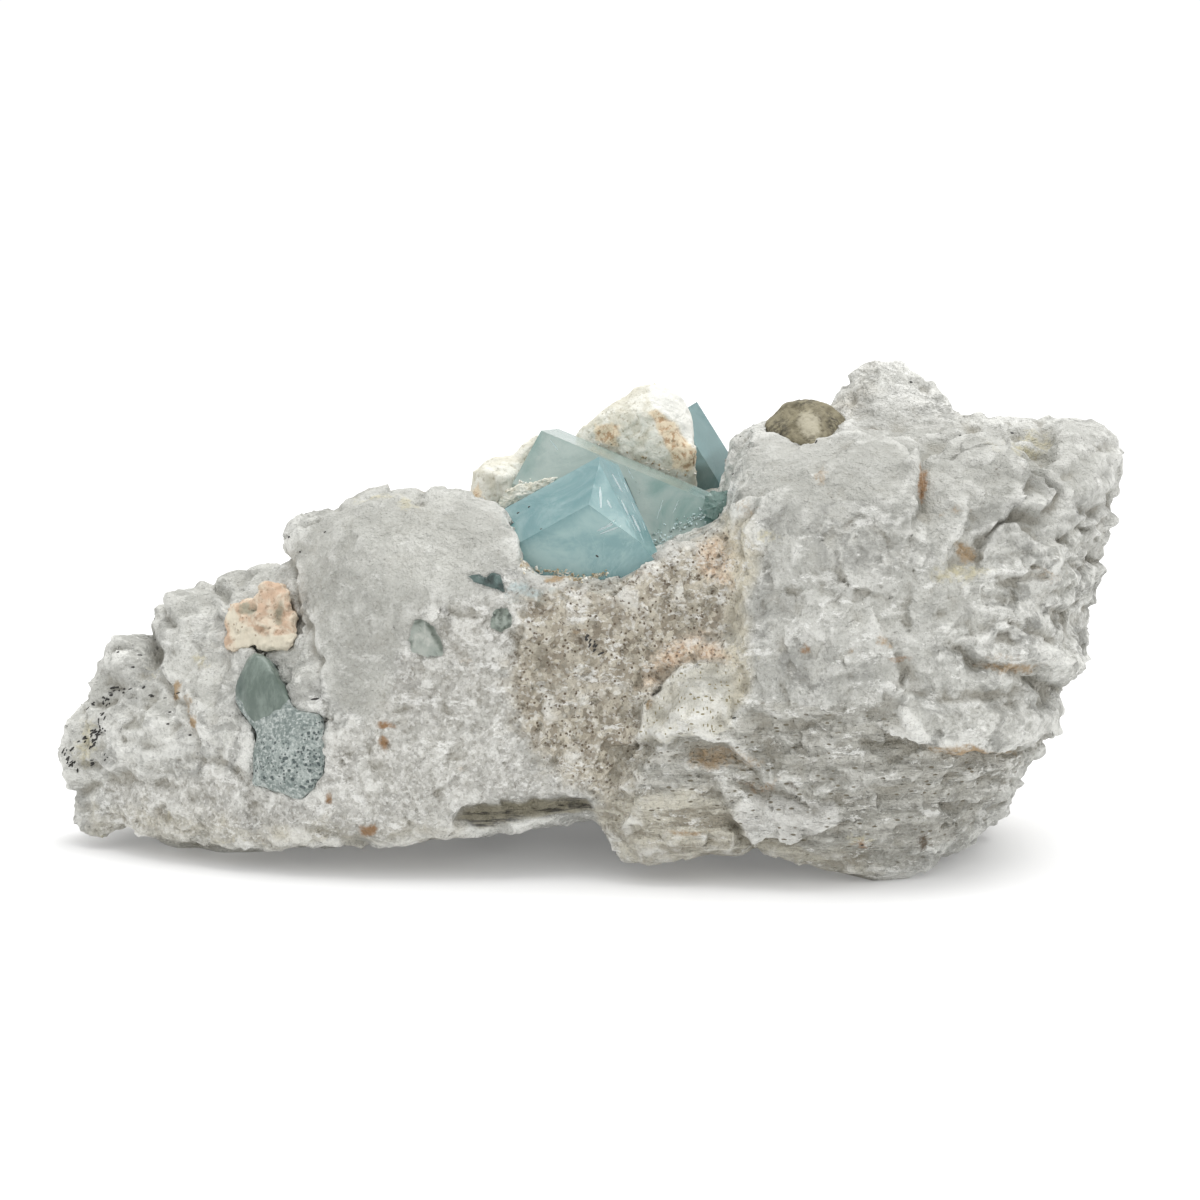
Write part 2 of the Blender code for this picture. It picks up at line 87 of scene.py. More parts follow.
# Broken edges: the points of the edge, which side of it is high (1: the right-hand side going along
# it as seen), the height of the step and how far back from the edge the high side fades.
STEPS = (
    (((846, 456), (856, 448), (870, 445), (903, 446), (919, 460), (924, 486), (917, 508)), 1, 2.0, 50),
    (((930, 460), (950, 450), (972, 444), (1000, 442), (1018, 459), (1022, 500),
      (1002, 518)), 1, 1.9, 50),
    (((1022, 468), (1042, 478), (1052, 498), (1044, 512), (1024, 506)), 1, 1.4, 30),
    (((738, 508), (758, 498), (790, 484), (822, 472)), 1, 0.8, 30),
    (((902, 738), (915, 744), (945, 752), (975, 750), (1005, 747), (1042, 736)), -1, 1.8, 45),
    (((906, 688), (900, 704), (904, 730), (912, 742)), -1, 1.0, 30),
    (((905, 690), (940, 700), (1000, 698), (1040, 690)), 1, 0.7, 35),
    (((636, 742), (664, 738), (690, 740), (720, 747), (737, 760), (752, 768), (772, 784),
      (800, 796)), -1, 1.3, 35),
    (((722, 795), (733, 818), (744, 838), (790, 840), (832, 826)), -1, 1.3, 30),
    (((300, 575), (302, 600), (310, 630), (318, 650), (322, 690), (328, 716)), -1, 0.7, 40),
    (((284, 556), (288, 540), (302, 526), (322, 518)), 1, 0.6, 30),
    (((170, 680), (186, 702), (196, 724), (202, 742)), -1, 1.0, 30),
    (((108, 764), (160, 758), (205, 750), (250, 770)), -1, 0.5, 35),
    (((118, 690), (140, 684), (160, 684), (172, 690)), 1, 0.5, 22),
    (((212, 588), (222, 610), (226, 640), (240, 652)), -1, 0.7, 25),
    (((636, 745), (640, 720), (648, 698), (662, 682), (690, 670)), 1, 0.9, 30),
    (((876, 622), (880, 640), (896, 662), (905, 690)), 1, 0.6, 30),
    (((985, 546), (996, 528), (1010, 516), (1032, 536), (1056, 548), (1092, 560)), 1, 0.9, 30),
    (((1000, 578), (1030, 572), (1060, 574), (1074, 584)), -1, 0.7, 20),
    (((940, 652), (960, 640), (1000, 628), (1040, 636), (1062, 654)), 1, 0.7, 25),
    (((742, 700), (760, 716), (800, 722), (840, 715)), -1, 0.4, 25),
    (((690, 770), (760, 784), (830, 790), (910, 782)), -1, 0.5, 22),
    (((850, 500), (880, 512), (910, 512), (930, 530), (925, 556)), 1, 0.5, 22),
    (((850, 420), (880, 432), (918, 436), (940, 430)), 1, 0.6, 25),
    (((1008, 440), (1014, 455), (1040, 470), (1056, 490)), -1, 0.8, 25),
)

# Cracks and hollows: the points, the width in the photo's scale and the depth.
GROOVES = (
    (((462, 816), (490, 812), (520, 809), (550, 806), (585, 808)), 7, 1.6),
    (((470, 822), (500, 818), (530, 812), (560, 812)), 3, 0.8),
    (((955, 650), (980, 664), (1010, 668), (1035, 680), (1058, 690)), 8, 1.3),
    (((735, 556), (737, 535), (744, 518), (758, 506)), 4, 0.7),
    (((737, 560), (735, 620), (740, 680), (736, 712)), 6, 0.5),
    (((920, 500), (921, 480), (925, 470)), 5, 0.9),
    (((728, 822), (740, 834), (750, 842)), 6, 1.2),
    (((305, 624), (314, 645), (320, 660)), 5, 0.3),
    (((860, 742), (880, 748), (900, 744)), 3, 0.5),
    (((138, 628), (146, 642), (150, 660)), 5, 0.9),
    (((156, 598), (166, 610), (172, 626)), 5, 0.7),
    (((214, 580), (224, 592), (230, 606)), 5, 0.8),
    (((100, 690), (112, 684), (124, 690)), 5, 0.6),
    (((1104, 526), (1086, 530), (1062, 540)), 5, 1.2),
    (((1080, 604), (1066, 612), (1050, 610)), 5, 1.0),
    (((1070, 690), (1050, 694), (1030, 686)), 5, 1.0),
    (((1012, 420), (1020, 445), (1046, 455)), 6, 0.8),
    (((840, 420), (850, 405), (852, 380)), 6, 0.5),
    (((980, 800), (960, 812), (930, 806)), 5, 0.7),
)

# Notches between the lobes of the outline, cut right through to the back: as the grooves.
NOTCHES = (
    (((96, 700), (112, 700)), 7, 1.0), (((138, 628), (150, 648)), 7, 1.5),
    (((206, 572), (222, 592)), 6, 1.1),
    (((276, 548), (292, 572)), 7, 1.1), (((152, 590), (164, 602)), 6, 0.7),
    (((240, 550), (246, 562)), 6, 0.6),
    (((330, 492), (336, 506)), 7, 0.7), (((420, 486), (424, 500)), 6, 0.6),
    (((1112, 500), (1088, 512)), 7, 1.4),
    (((1096, 560), (1070, 566)), 7, 1.2), (((1084, 620), (1060, 622)), 7, 1.0),
    (((1062, 700), (1040, 702)), 7, 1.2),
    (((1010, 782), (990, 780)), 7, 1.0), (((968, 428), (972, 440)), 8, 0.8),
    (((1040, 418), (1044, 434)), 8, 0.7),
    (((62, 790), (80, 792)), 7, 0.7), (((845, 372), (852, 400)), 6, 0.5),
)

# Swellings: across, down, half width, half height and how far they stand out.
LUMPS = (
    (122, 658, 20, 20, 1.1), (180, 602, 28, 14, 0.8), (255, 572, 34, 16, 0.6), (300, 535, 18, 18, 0.5),
    (72, 755, 14, 40, 0.5), (1085, 470, 34, 50, 0.8), (1062, 660, 24, 22, 1.0), (985, 722, 70, 18, 0.9),
    (885, 478, 34, 28, 0.7), (975, 480, 40, 32, 0.7), (690, 700, 38, 28, 0.7), (775, 812, 46, 18, 0.9),
    (1040, 590, 34, 12, -0.6), (905, 672, 20, 18, -0.4), (800, 600, 40, 26, -0.5),
    (700, 758, 40, 9, -0.9),
    (760, 455, 24, 28, 0.6), (880, 395, 26, 34, 0.4), (1040, 450, 16, 24, -0.9), (620, 830, 26, 20, 0.5),
    (940, 600, 26, 20, -0.4), (860, 560, 40, 26, 0.4), (1012, 540, 20, 24, 0.5),
)

# Outlines of the zones of the rock's front.
BEIGE = (
    (528, 592), (556, 578), (590, 572), (625, 562), (660, 548), (690, 530), (706, 520), (730, 514),
    (734, 560), (733, 620), (738, 668), (712, 664), (690, 668), (664, 680), (648, 706), (640, 742),
    (640, 780), (610, 800), (575, 790), (545, 770), (520, 735), (505, 690), (512, 640),
)
CHALK = (
    (636, 744), (640, 720), (650, 698), (664, 680), (690, 668), (716, 664), (740, 672), (744, 700),
    (734, 726), (706, 736), (668, 740),
)
DOME = (
    (284, 552), (300, 524), (332, 508), (372, 497), (440, 500), (500, 508), (524, 530), (518, 566),
    (470, 590), (430, 616), (404, 650), (398, 690), (372, 722), (336, 712), (322, 690), (318, 650),
    (304, 600),
)
PINK = (
    ((700, 540), (725, 535), (733, 560), (730, 590), (705, 580), (696, 560)),
    ((650, 655), (690, 628), (720, 630), (735, 660), (700, 664), (660, 684), (640, 690)),
)
SEAM = ((722, 520), (752, 512), (760, 540), (748, 600), (752, 660), (745, 700), (730, 700), (728, 600))
FOOT = (
    (596, 800), (640, 790), (690, 790), (730, 800), (760, 840), (830, 850), (905, 880), (600, 890),
)
LEFT_FOOT = ((75, 800), (150, 800), (250, 818), (360, 820), (470, 812), (470, 850), (75, 860))
PLATES = (
    (745, 500), (760, 440), (800, 440), (850, 380), (900, 350), (960, 420), (1120, 420), (1110, 510),
    (1040, 545), (985, 540), (920, 530), (850, 500), (790, 520),
)
WHITE_CHIP = (
    (738, 798), (765, 788), (800, 792), (835, 800), (838, 822), (800, 836), (750, 836),
    (738, 820),
)
FIBRES = (
    (640, 742), (735, 726), (760, 700), (900, 712), (915, 748), (1040, 745), (960, 840), (900, 870),
    (700, 850), (600, 830),
)
SUGAR = (
    (330, 728), (372, 722), (400, 650), (440, 610), (520, 580), (530, 620), (510, 690), (540, 770),
    (600, 800), (460, 815), (400, 838), (200, 850), (90, 835), (110, 770), (250, 770),
)
SLIT = (
    (458, 822), (470, 812), (500, 806), (540, 802), (590, 804), (596, 812), (560, 816), (520, 820),
    (480, 828),
)

# The masks of the zones: the name, how soft the edge is and the outlines.
ZONES = (
    ("beige", 26, (BEIGE,)), ("chalk", 8, (CHALK,)), ("dome", 14, (DOME,)), ("seam", 9, (SEAM,)),
    ("plates", 16, (PLATES,)), ("white_chip", 8, (WHITE_CHIP,)), ("fibres", 22, (FIBRES,)),
    ("sugar", 26, (SUGAR,)), ("pink", 14, PINK),
)

# Stains, and painted shade and light laid the same way: across, down, half width, half height and
# strength.
RUST = (
    (924, 484, 6, 14, 0.9), (722, 508, 9, 4, 0.6), (896, 659, 15, 5, 0.8), (803, 650, 9, 5, 0.7),
    (863, 848, 8, 10, 0.9), (760, 784, 22, 9, 0.5), (389, 725, 9, 6, 0.9), (384, 747, 8, 8, 1.0),
    (328, 803, 7, 9, 0.9), (369, 825, 12, 8, 1.0), (466, 696, 4, 3, 0.5), (1030, 735, 20, 6, 0.3),
)
# Tan places: stains, and painted brown shade in the crevices under the shelves.
TAN_STAINS_AND_SHADE = (
    (966, 552, 13, 9, 0.8), (878, 640, 10, 9, 0.6), (850, 655, 10, 6, 0.5), (1012, 668, 34, 7, 0.7),
    (976, 750, 50, 5, 0.9), (712, 762, 26, 10, 0.7), (470, 665, 16, 8, 0.35), (465, 770, 8, 5, 0.4),
    (178, 688, 6, 9, 1.0), (196, 724, 6, 11, 1.0), (186, 706, 6, 14, 0.6), (690, 832, 26, 5, 0.7),
    (880, 355, 4, 12, 0.7), (820, 480, 8, 8, 0.6), (750, 508, 20, 6, 0.4), (954, 512, 16, 9, 0.35),
    (585, 632, 11, 5, 0.6), (560, 575, 22, 5, 0.8), (545, 560, 4, 6, 0.8), (522, 570, 5, 5, 0.7),
    (735, 760, 30, 10, 0.5), (560, 590, 26, 6, 0.4), (640, 575, 24, 7, 0.4), (1000, 655, 30, 5, 0.4),
    (1045, 575, 22, 5, 0.4), (700, 555, 14, 14, 0.4), (652, 704, 4, 8, 0.8), (770, 780, 20, 6, 0.5),
)
# Painted light: the blue glow of the crystal showing through the quartz under it, laid like the stains.
CRYSTAL_GLOW_SPOTS = ((530, 590, 26, 8, 0.6), (512, 598, 14, 5, 0.45), (556, 588, 14, 7, 0.5), (545, 600, 10, 4, 0.4))
# Painted shade: dimmer places on the dome's top, the shelf and the beige zone, laid like the stains.
PAINTED_SHADE_SPOTS = ((420, 520, 75, 18, 0.45), (975, 720, 60, 20, 0.47), (572, 690, 45, 45, 0.4))
MOSS = (
    (962, 572, 34, 14, 0.6), (862, 840, 24, 12, 0.5), (375, 498, 30, 6, 0.5), (412, 505, 16, 9, 0.6),
    (876, 380, 8, 16, 0.5), (772, 540, 12, 10, 0.5), (1005, 455, 26, 10, 0.3), (1030, 440, 20, 14, 0.7),
    (760, 660, 14, 6, 0.3), (130, 845, 24, 5, 0.6), (105, 842, 12, 5, 0.8), (170, 815, 4, 14, 0.5),
    (240, 842, 50, 4, 0.4), (88, 745, 14, 34, 0.6), (150, 668, 12, 20, 0.3), (205, 660, 10, 10, 0.5),
)
# Dark places: stains, and painted shade in the crevices under the shelves and along grooves and edges.
DARK_STAINS_AND_SHADE = (
    (924, 842, 10, 7, 0.8), (798, 789, 9, 5, 0.6), (205, 668, 10, 10, 0.35), (178, 766, 4, 3, 0.5),
    (730, 828, 12, 5, 0.6), (994, 476, 5, 6, 0.4), (1035, 450, 12, 8, 0.4), (876, 427, 4, 4, 0.7),
    (588, 643, 8, 10, 0.6), (1015, 674, 28, 5, 0.4), (975, 753, 46, 3, 0.6), (1060, 545, 26, 4, 0.35),
    (690, 750, 34, 3, 0.45), (640, 746, 12, 3, 0.5), (312, 650, 4, 24, 0.3), (1012, 470, 5, 20, 0.3),
    (735, 780, 30, 3, 0.3),
)

# The tones and places of the stains and of the painted shade and light, in the order in which they are
# laid.
STAINS_AND_PAINTED_LIGHT = {
    "dim": ((138, 137, 128), PAINTED_SHADE_SPOTS), "blue": ((180, 195, 195), CRYSTAL_GLOW_SPOTS), "moss": ((192, 185, 155), MOSS),
    "tan": ((160, 138, 108), TAN_STAINS_AND_SHADE), "rust": ((140, 110, 78), RUST), "dark": ((86, 74, 56), DARK_STAINS_AND_SHADE),
}

# Black tourmaline needles: across, down, half length and the slope of the needle in degrees.
NEEDLES = (
    (118, 652, 2, 0), (140, 655, 3, 20), (133, 667, 2, 0), (178, 693, 3, 0), (105, 760, 2, 30),
    (168, 724, 2, 0), (165, 698, 2, 0), (170, 712, 2, 0), (190, 735, 2, 0), (911, 382, 2, 0),
    (740, 437, 2, 0), (733, 474, 1.6, 0), (734, 718, 2.4, 0), (1012, 433, 2, 0), (960, 436, 1.6, 0),
    (801, 401, 2.5, 0), (831, 423, 4, 70), (822, 436, 4, 40), (816, 442, 3, 45), (648, 385, 2, 0),
    (862, 845, 2, 0),
    (289, 537, 2, 0), (325, 532, 2, 0), (300, 552, 1.6, 0), (315, 699, 5, 5), (285, 718, 3, 0),
)
# Rows of needles: the two places between which they lie, how many they are and their slope.
NEEDLE_ROWS = (
    ((110, 690), (152, 692), 11, 12), ((92, 746), (106, 700), 22, 50), ((76, 744), (104, 728), 16, 35),
    ((65, 748), (74, 770), 14, 75), ((84, 708), (108, 698), 10, 30), ((88, 764), (106, 754), 6, 30),
    ((584, 636), (600, 652), 14, 50),
)
SPECKS = (
    (518, 513, 2, 50), (529, 507, 1.4, 0), (541, 529, 1.4, 0), (597, 556, 2, 150), (579, 436, 1.6, 0),
)

# Lines along which crumbs lie, and the outline of the wedge.
RIM = (
    (519, 560), (526, 569), (545, 571), (560, 572), (571, 575), (576, 580), (590, 577), (605, 573),
)
KNOB_FOOT = (
    (597, 442), (618, 448), (640, 458), (652, 463), (666, 470), (680, 476), (698, 470), (704, 460),
)
WEDGE = (
    (497, 508), (500, 498), (508, 490), (520, 484), (532, 483), (546, 478), (558, 477), (550, 484),
    (534, 492), (516, 502), (505, 508),
)
WEDGE_RIM = ((500, 500), (510, 490), (522, 485), (534, 484), (548, 480))
GLINTS = ((650, 544), (658, 538), (670, 532), (684, 526), (696, 520), (706, 515))

# Outlines of the chips, and of their milky, deep, dark and pale places.
TEAL_CHIP = (
    (467, 576), (480, 574), (487, 578), (492, 573), (500, 574), (502, 582), (505, 592), (496, 589),
    (485, 586), (474, 581),
)
ROUND_GRAIN = ((491, 618), (496, 609), (507, 608), (512, 617), (511, 627), (501, 632), (491, 627))
TEAL_MILKY = (
    ((476, 576), (484, 580), (483, 583), (474, 579)), ((496, 576), (500, 577), (497, 585), (493, 583)),
)
TEAL_DEEP = (
    ((486, 579), (494, 574), (494, 584), (486, 584)), ((499, 583), (503, 584), (504, 591), (498, 588)),
)
ROUND_DARK = (
    ((491, 618), (496, 609), (507, 608), (508, 611), (498, 612), (494, 620)),
    ((500, 612), (503, 612), (501, 624), (498, 624)), ((507, 612), (511, 614), (511, 626), (508, 626)),
    ((493, 626), (502, 629), (510, 627), (501, 632)),
)
ROUND_PALE = (
    ((495, 616), (498, 614), (498, 626), (494, 624)), ((503, 615), (507, 616), (506, 626), (503, 626)),
)
PALE_MILKY = (((411, 634), (416, 626), (426, 629), (438, 648), (430, 647), (420, 640)),)
PALE_DEEP = (
    ((412, 624), (419, 618), (424, 620), (417, 626)), ((408, 640), (412, 641), (412, 648), (409, 648)),
    ((424, 620), (434, 625), (446, 650), (441, 652), (430, 632)),
)
PALE_CHIP = (
    (409, 640), (414, 621), (421, 619), (434, 626), (441, 640), (444, 654), (428, 657), (413, 652),
)
CHIPS = {"beryl_teal": TEAL_CHIP, "beryl_round": ROUND_GRAIN, "beryl_pale": PALE_CHIP}

# Deep and milky places of the two large crystals: the strength and the outline. On the front one the
# deep places are painted shade on its faces, and the milky ones are milky with a painted glow as well.
FRONT_PAINTED_SHADE = (
    (1.0,
     ((500, 512), (560, 476), (600, 456), (606, 470), (598, 492), (572, 518), (520, 546), (514, 530))),
    (0.9, ((600, 460), (618, 464), (652, 520), (658, 548), (640, 536), (612, 496))),
)
FRONT_MILKY_AND_GLOW = (
    (1.0, ((562, 548), (590, 545), (606, 556), (600, 576), (574, 580), (560, 566))),
    (1.0, ((524, 550), (575, 523), (600, 498), (618, 514), (634, 536), (652, 549), (610, 572), (575, 580),
           (530, 568))),
)
BACK_DEEP = (
    (1.0, ((702, 494), (714, 489), (728, 491), (740, 502), (724, 518), (700, 528))),
    (0.9, ((646, 478), (672, 480), (704, 490), (712, 512), (690, 526), (656, 532), (652, 508))),
    (0.6, ((517, 478), (538, 429), (544, 430), (528, 478))),
    (0.4, ((538, 426), (560, 428), (640, 458), (704, 484), (700, 490), (630, 462))),
)
BACK_MILKY = (
    (0.8, ((530, 470), (545, 440), (580, 445), (590, 460), (556, 470))),
    (0.6, ((668, 494), (694, 492), (700, 502), (676, 508))),
)
BACK_TIP = (
    (704, 497), (712, 490), (719, 492), (727, 491), (729, 498), (737, 501), (731, 507), (728, 513),
    (720, 513), (716, 520), (708, 518), (703, 508),
)

# White sheets in them: start, end, width in the photo's scale and depth under the face. In the back one
# they are healed cracks; in the front one they are painted reflections, the white streaks of light on its
# ridge.
FRONT_REFLECTION_SHEETS = (
    ((600, 487), (601, 508), 2.4, -0.04), ((597, 531), (616, 523), 2.2, -0.04),
    ((600, 534), (621, 526), 1.8, -0.04), ((604, 528), (615, 520), 1.4, -0.04),
    ((607, 500), (611, 508), 2, -0.04),
    ((621, 500), (628, 515), 1.8, -0.04), ((632, 516), (640, 532), 2, -0.04),
    ((612, 474), (622, 492), 1.4, -0.04),
)
BACK_VEILS = (
    ((657, 519), (663, 500), 1.2, -0.02), ((673, 513), (679, 500), 1.0, -0.02),
    ((550, 440), (558, 450), 1.2, -0.02),
    ((626, 466), (634, 480), 1.2, -0.02),
)

# Bands of splinters: the lines across their two ends.
RIDGE_BAND = (((603, 466), (624, 466)), ((636, 544), (656, 546)))
BACK_BAND = (((622, 462), (636, 468)), ((640, 495), (650, 510)))

# Rusty, tan, pale, pitted and dark places of the knobs and grains. SMOKY_PANEL and WINDOWS are stains.
KNOB_RUST = (
    ((646, 411), (662, 410), (680, 432), (694, 450), (703, 462), (690, 470), (672, 468), (664, 440)),
    ((470, 490), (478, 485), (487, 500), (480, 508)),
)
KNOB_TAN = (((597, 423), (620, 425), (617, 446), (596, 440)),)
KNOB_WHITE = (((648, 384), (690, 392), (703, 410), (703, 440), (690, 444), (672, 420), (652, 408)),)
KNOB_PITS = (((596, 400), (646, 411), (703, 462), (690, 470), (600, 446)),)
KNOB_DARK = (
    ((672, 438), (680, 440), (682, 448), (675, 446)), ((690, 456), (700, 462), (698, 468), (690, 466)),
    ((612, 440), (620, 442), (618, 450), (612, 448)), ((676, 452), (684, 456), (682, 462), (676, 460)),
)
SMOKY_DARK = (
    ((766, 428), (780, 418), (788, 424), (784, 438), (770, 437)),
    ((826, 412), (846, 422), (842, 434), (828, 432)),
    ((792, 398), (812, 397), (816, 404), (796, 406)), ((806, 440), (826, 436), (818, 446)),
)
PRISM = (
    (257, 642), (240, 660), (235, 695), (255, 722), (262, 722), (295, 698), (307, 692), (275, 665),
    (268, 648),
)
PRISM_RIM = (
    ((256, 640), (268, 642), (282, 664), (276, 668), (262, 652)),
    ((236, 662), (243, 660), (242, 700), (235, 696)),
)
PITTED = (
    (260, 735), (290, 740), (310, 722), (332, 705), (335, 765), (310, 792), (250, 778),
)
PEACH_SHELL = (
    ((222, 610), (234, 606), (240, 622), (262, 636), (290, 632), (306, 628), (296, 650), (240, 660)),
)
PEACH_PITS = (((226, 588), (306, 584), (306, 640), (226, 640)),)
SMOKY_PANEL = ((810, 425, 13, 16, 0.9),)
WINDOWS = ((247, 608, 11, 7, 0.9), (279, 614, 6, 12, 0.8), (263, 629, 9, 3, 0.5), (294, 604, 4, 7, 0.4))

# Clear beryls: surface tone, milky tone, deep tone, tone of the absorption and its density,
# transmission and roughness.
BERYLS = {
    "blue_beryl": ((146, 190, 192), (196, 228, 226), (114, 168, 172), (0.30, 0.72, 0.80), 22, 0.5, 0.2),
    "rear_beryl": ((138, 170, 172), (170, 194, 194), (120, 152, 156), (0.30, 0.62, 0.68), 45, 0.45, 0.2),
    "pale_beryl": ((180, 199, 192), (208, 222, 216), (116, 163, 156), (0.50, 0.80, 0.74), 20, 0.45, 0.2),
    "green_beryl": ((64, 86, 82), (116, 138, 133), (36, 54, 50), (0.30, 0.52, 0.47), 40, 0.25, 0.3),
    "light_beryl": ((160, 169, 160), (216, 217, 209), (96, 106, 94), (0.5, 0.62, 0.58), 30, 0.3, 0.3),
    "beryl_tip": ((124, 154, 146), (156, 180, 173), (92, 124, 116), (0.40, 0.70, 0.64), 30, 0.35, 0.2),
}
# Opaque grains: surface tone, the tones of the patches, the pits and the pale panel, and roughness
# where it isn't 0.7.
GRAINS = {
    "grey_beryl": ((104, 113, 103), (136, 145, 136), (72, 82, 74), (150, 158, 150), 0.45),
    "cream": ((206, 203, 188), (226, 225, 215), (158, 150, 128), (228, 228, 222)),
    "peach": ((194, 168, 144), (212, 200, 180), (128, 106, 84), (216, 209, 190)),
    "smoky": ((104, 97, 75), (132, 125, 101), (62, 55, 41), (172, 166, 146)),
}

def sight(across, down):
    """The direction in which the viewpoint sees that place of the photo."""
    right = (across - VIEW_SIDE / 2) / VIEW_SCALE
    up = (VIEW_SIDE / 2 - down) / VIEW_SCALE
    return (VIEW_FORWARD * VIEW_DISTANCE + Vector((1, 0, 0)) * right + VIEW_UP * up).normalized()


def cast(surface, across, down):
    """The place and the direction of the surface that the viewpoint sees there."""
    return surface.ray_cast(VIEW_EYE, sight(across, down))[:2]


def seen_at(places):
    """Where the viewpoint sees these places, as across and down. places is an array of mm."""
    away = places - np.array(VIEW_EYE)
    depth = away @ np.array(VIEW_FORWARD)
    across = VIEW_SIDE / 2 + away[:, 0] / depth * VIEW_DISTANCE * VIEW_SCALE
    down = VIEW_SIDE / 2 - (away @ np.array(VIEW_UP)) / depth * VIEW_DISTANCE * VIEW_SCALE
    return np.stack([across, down], 1)


def smoothstep(low, high, value):
    t = np.clip((value - low) / (high - low), 0, 1)
    return t * t * (3 - 2 * t)


def places_of(obj):
    co = np.empty(len(obj.data.vertices) * 3)
    obj.data.vertices.foreach_get("co", co)
    return co.reshape(-1, 3) / MM


def normals_of(obj):
    no = np.empty(len(obj.data.vertices) * 3, np.float32)
    obj.data.vertex_normals.foreach_get("vector", no)
    return no.reshape(-1, 3)


def put_places(obj, places):
    obj.data.vertices.foreach_set("co", (places * MM).ravel())
    obj.data.update()


def rough(places, wave, octaves=2, seed=1):
    """Fractal noise at each place, about -1 to 1."""
    scaled = places / wave + np.array(SEED * seed)
    return np.array([noise.fractal(Vector(p), 0.9, 2.0, octaves) for p in scaled])


def facets(places, wave, seed=1):
    """Tilted flat facets about wave across: a height within -1 and 1."""
    heights = np.empty(len(places))
    for i, p in enumerate(places / wave + np.array(SEED * seed)):
        place = Vector(p)
        corner = noise.voronoi(place)[1][0]
        tilt = noise.cell_vector(corner * 57.3)
        heights[i] = (place - corner).dot(tilt - Vector((0.5, 0.5, 0.5))) * 2
    return heights


def drifted(places, wave, by, seeds=(7, 8)):
    """Where the viewpoint sees these places, moved by noise of this wave."""
    drift = np.stack([rough(places, wave, 2, seed) for seed in seeds], 1)
    return seen_at(places) + drift * by


def edge_distance(spots, line, closed=False):
    """The distance of each spot from a line, and which side of it it's on."""
    points = np.array(line, float)
    starts = points if closed else points[:-1]
    ends = np.roll(points, -1, 0) if closed else points[1:]
    best = np.full(len(spots), 1e9)
    side = np.zeros(len(spots))
    for a, b in zip(starts, ends):
        run = b - a
        t = np.clip(((spots - a) @ run) / max(run @ run, 1e-9), 0, 1)
        gap = spots - (a + t[:, None] * run)
        distance = np.hypot(gap[:, 0], gap[:, 1])
        nearer = distance < best
        best[nearer] = distance[nearer]
        side[nearer] = np.sign(run[0] * gap[nearer, 1] - run[1] * gap[nearer, 0])
    return best, side


def inside(spots, outline):
    """True for the spots within a closed outline."""
    hit = np.zeros(len(spots), bool)
    points = np.array(outline, float)
    for (x0, y0), (x1, y1) in zip(points, np.roll(points, -1, 0)):
        crosses = (y0 > spots[:, 1]) != (y1 > spots[:, 1])
        hit ^= crosses & (spots[:, 0] < (x1 - x0) * (spots[:, 1] - y0) / (y1 - y0 + 1e-12) + x0)
    return hit


def zone(spots, outline, soft):
    """1 within an outline and 0 outside it, with an edge that is soft either way."""
    distance, _ = edge_distance(spots, outline, True)
    return smoothstep(-soft, soft, np.where(inside(spots, outline), distance, -distance))


def blob(spots, oval, outer, inner):
    """1 in the middle of an oval, across, down, half width and half height, and 0 outside it."""
    across, down, half_w, half_h = oval
    reach = np.hypot((spots[:, 0] - across) / half_w, (spots[:, 1] - down) / half_h)
    return smoothstep(outer, inner, reach)


def grown(outline, by):
    """The points of an outline moved out from its middle."""
    points = [Vector(point) for point in outline]
    middle = Vector((sum(p.x for p in points), sum(p.y for p in points))) / len(points)
    return [middle + (p - middle) * (1 + by / (p - middle).length) for p in points]


def oval_mask(spots, ovals):
    total = np.zeros(len(spots))
    for *oval, strength in ovals:
        total = np.maximum(total, strength * blob(spots, oval, 1.5, 0.3))
    return total


def add_mask(obj, name, values):
    layer = obj.data.attributes.new(name, "FLOAT", "POINT")
    layer.data.foreach_set("value", np.clip(values, 0, 1).astype(np.float32))


def add_masks(obj, spots, masks, soft, share=1):
    """Adds masks by their shapes: outlines, strengths with outlines, or stains."""
    for name, shapes in masks:
        total = np.zeros(len(spots))
        for shape in shapes:
            if isinstance(shape[0], tuple):
                value = zone(spots, shape, soft)
            elif len(shape) == 2:
                value = shape[0] * zone(spots, shape[1], soft)
            else:
                value = oval_mask(spots, [shape])
            total = np.maximum(total, value)
        add_mask(obj, name, total * share)


def linked(name, data):
    obj = bpy.data.objects.new(name, data)
    bpy.context.collection.objects.link(obj)
    return obj


def copy_of(node, name):
    return linked(name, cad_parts[node].data.copy())


def made_of(bm, name):
    """A new object of what a bmesh holds."""
    mesh = bpy.data.meshes.new(name)
    bm.to_mesh(mesh)
    bm.free()
    return linked(name, mesh)


def modify(obj, kind, **settings):
    """Applies a modifier to the mesh."""
    modifier = obj.modifiers.new("change", kind)
    for key, value in settings.items():
        setattr(modifier, key, value)
    graph = bpy.context.evaluated_depsgraph_get()
    graph.update()
    made = bpy.data.meshes.new_from_object(obj.evaluated_get(graph))
    obj.modifiers.clear()
    obj.data = made


def even_out(obj, voxel, rounds):
    """Remeshes an object evenly and softens the terraces that this leaves."""
    modify(obj, "REMESH", mode="VOXEL", voxel_size=voxel * MM)
    modify(obj, "SMOOTH", factor=0.5, iterations=rounds)


def triangles(obj):
    return sum(len(p.vertices) - 2 for p in obj.data.polygons)


def surface_of(obj):
    """A tree for casting rays on a mesh, in millimetres."""
    places = [Vector(p) for p in places_of(obj)]
    return BVHTree.FromPolygons(places, [tuple(p.vertices) for p in obj.data.polygons])


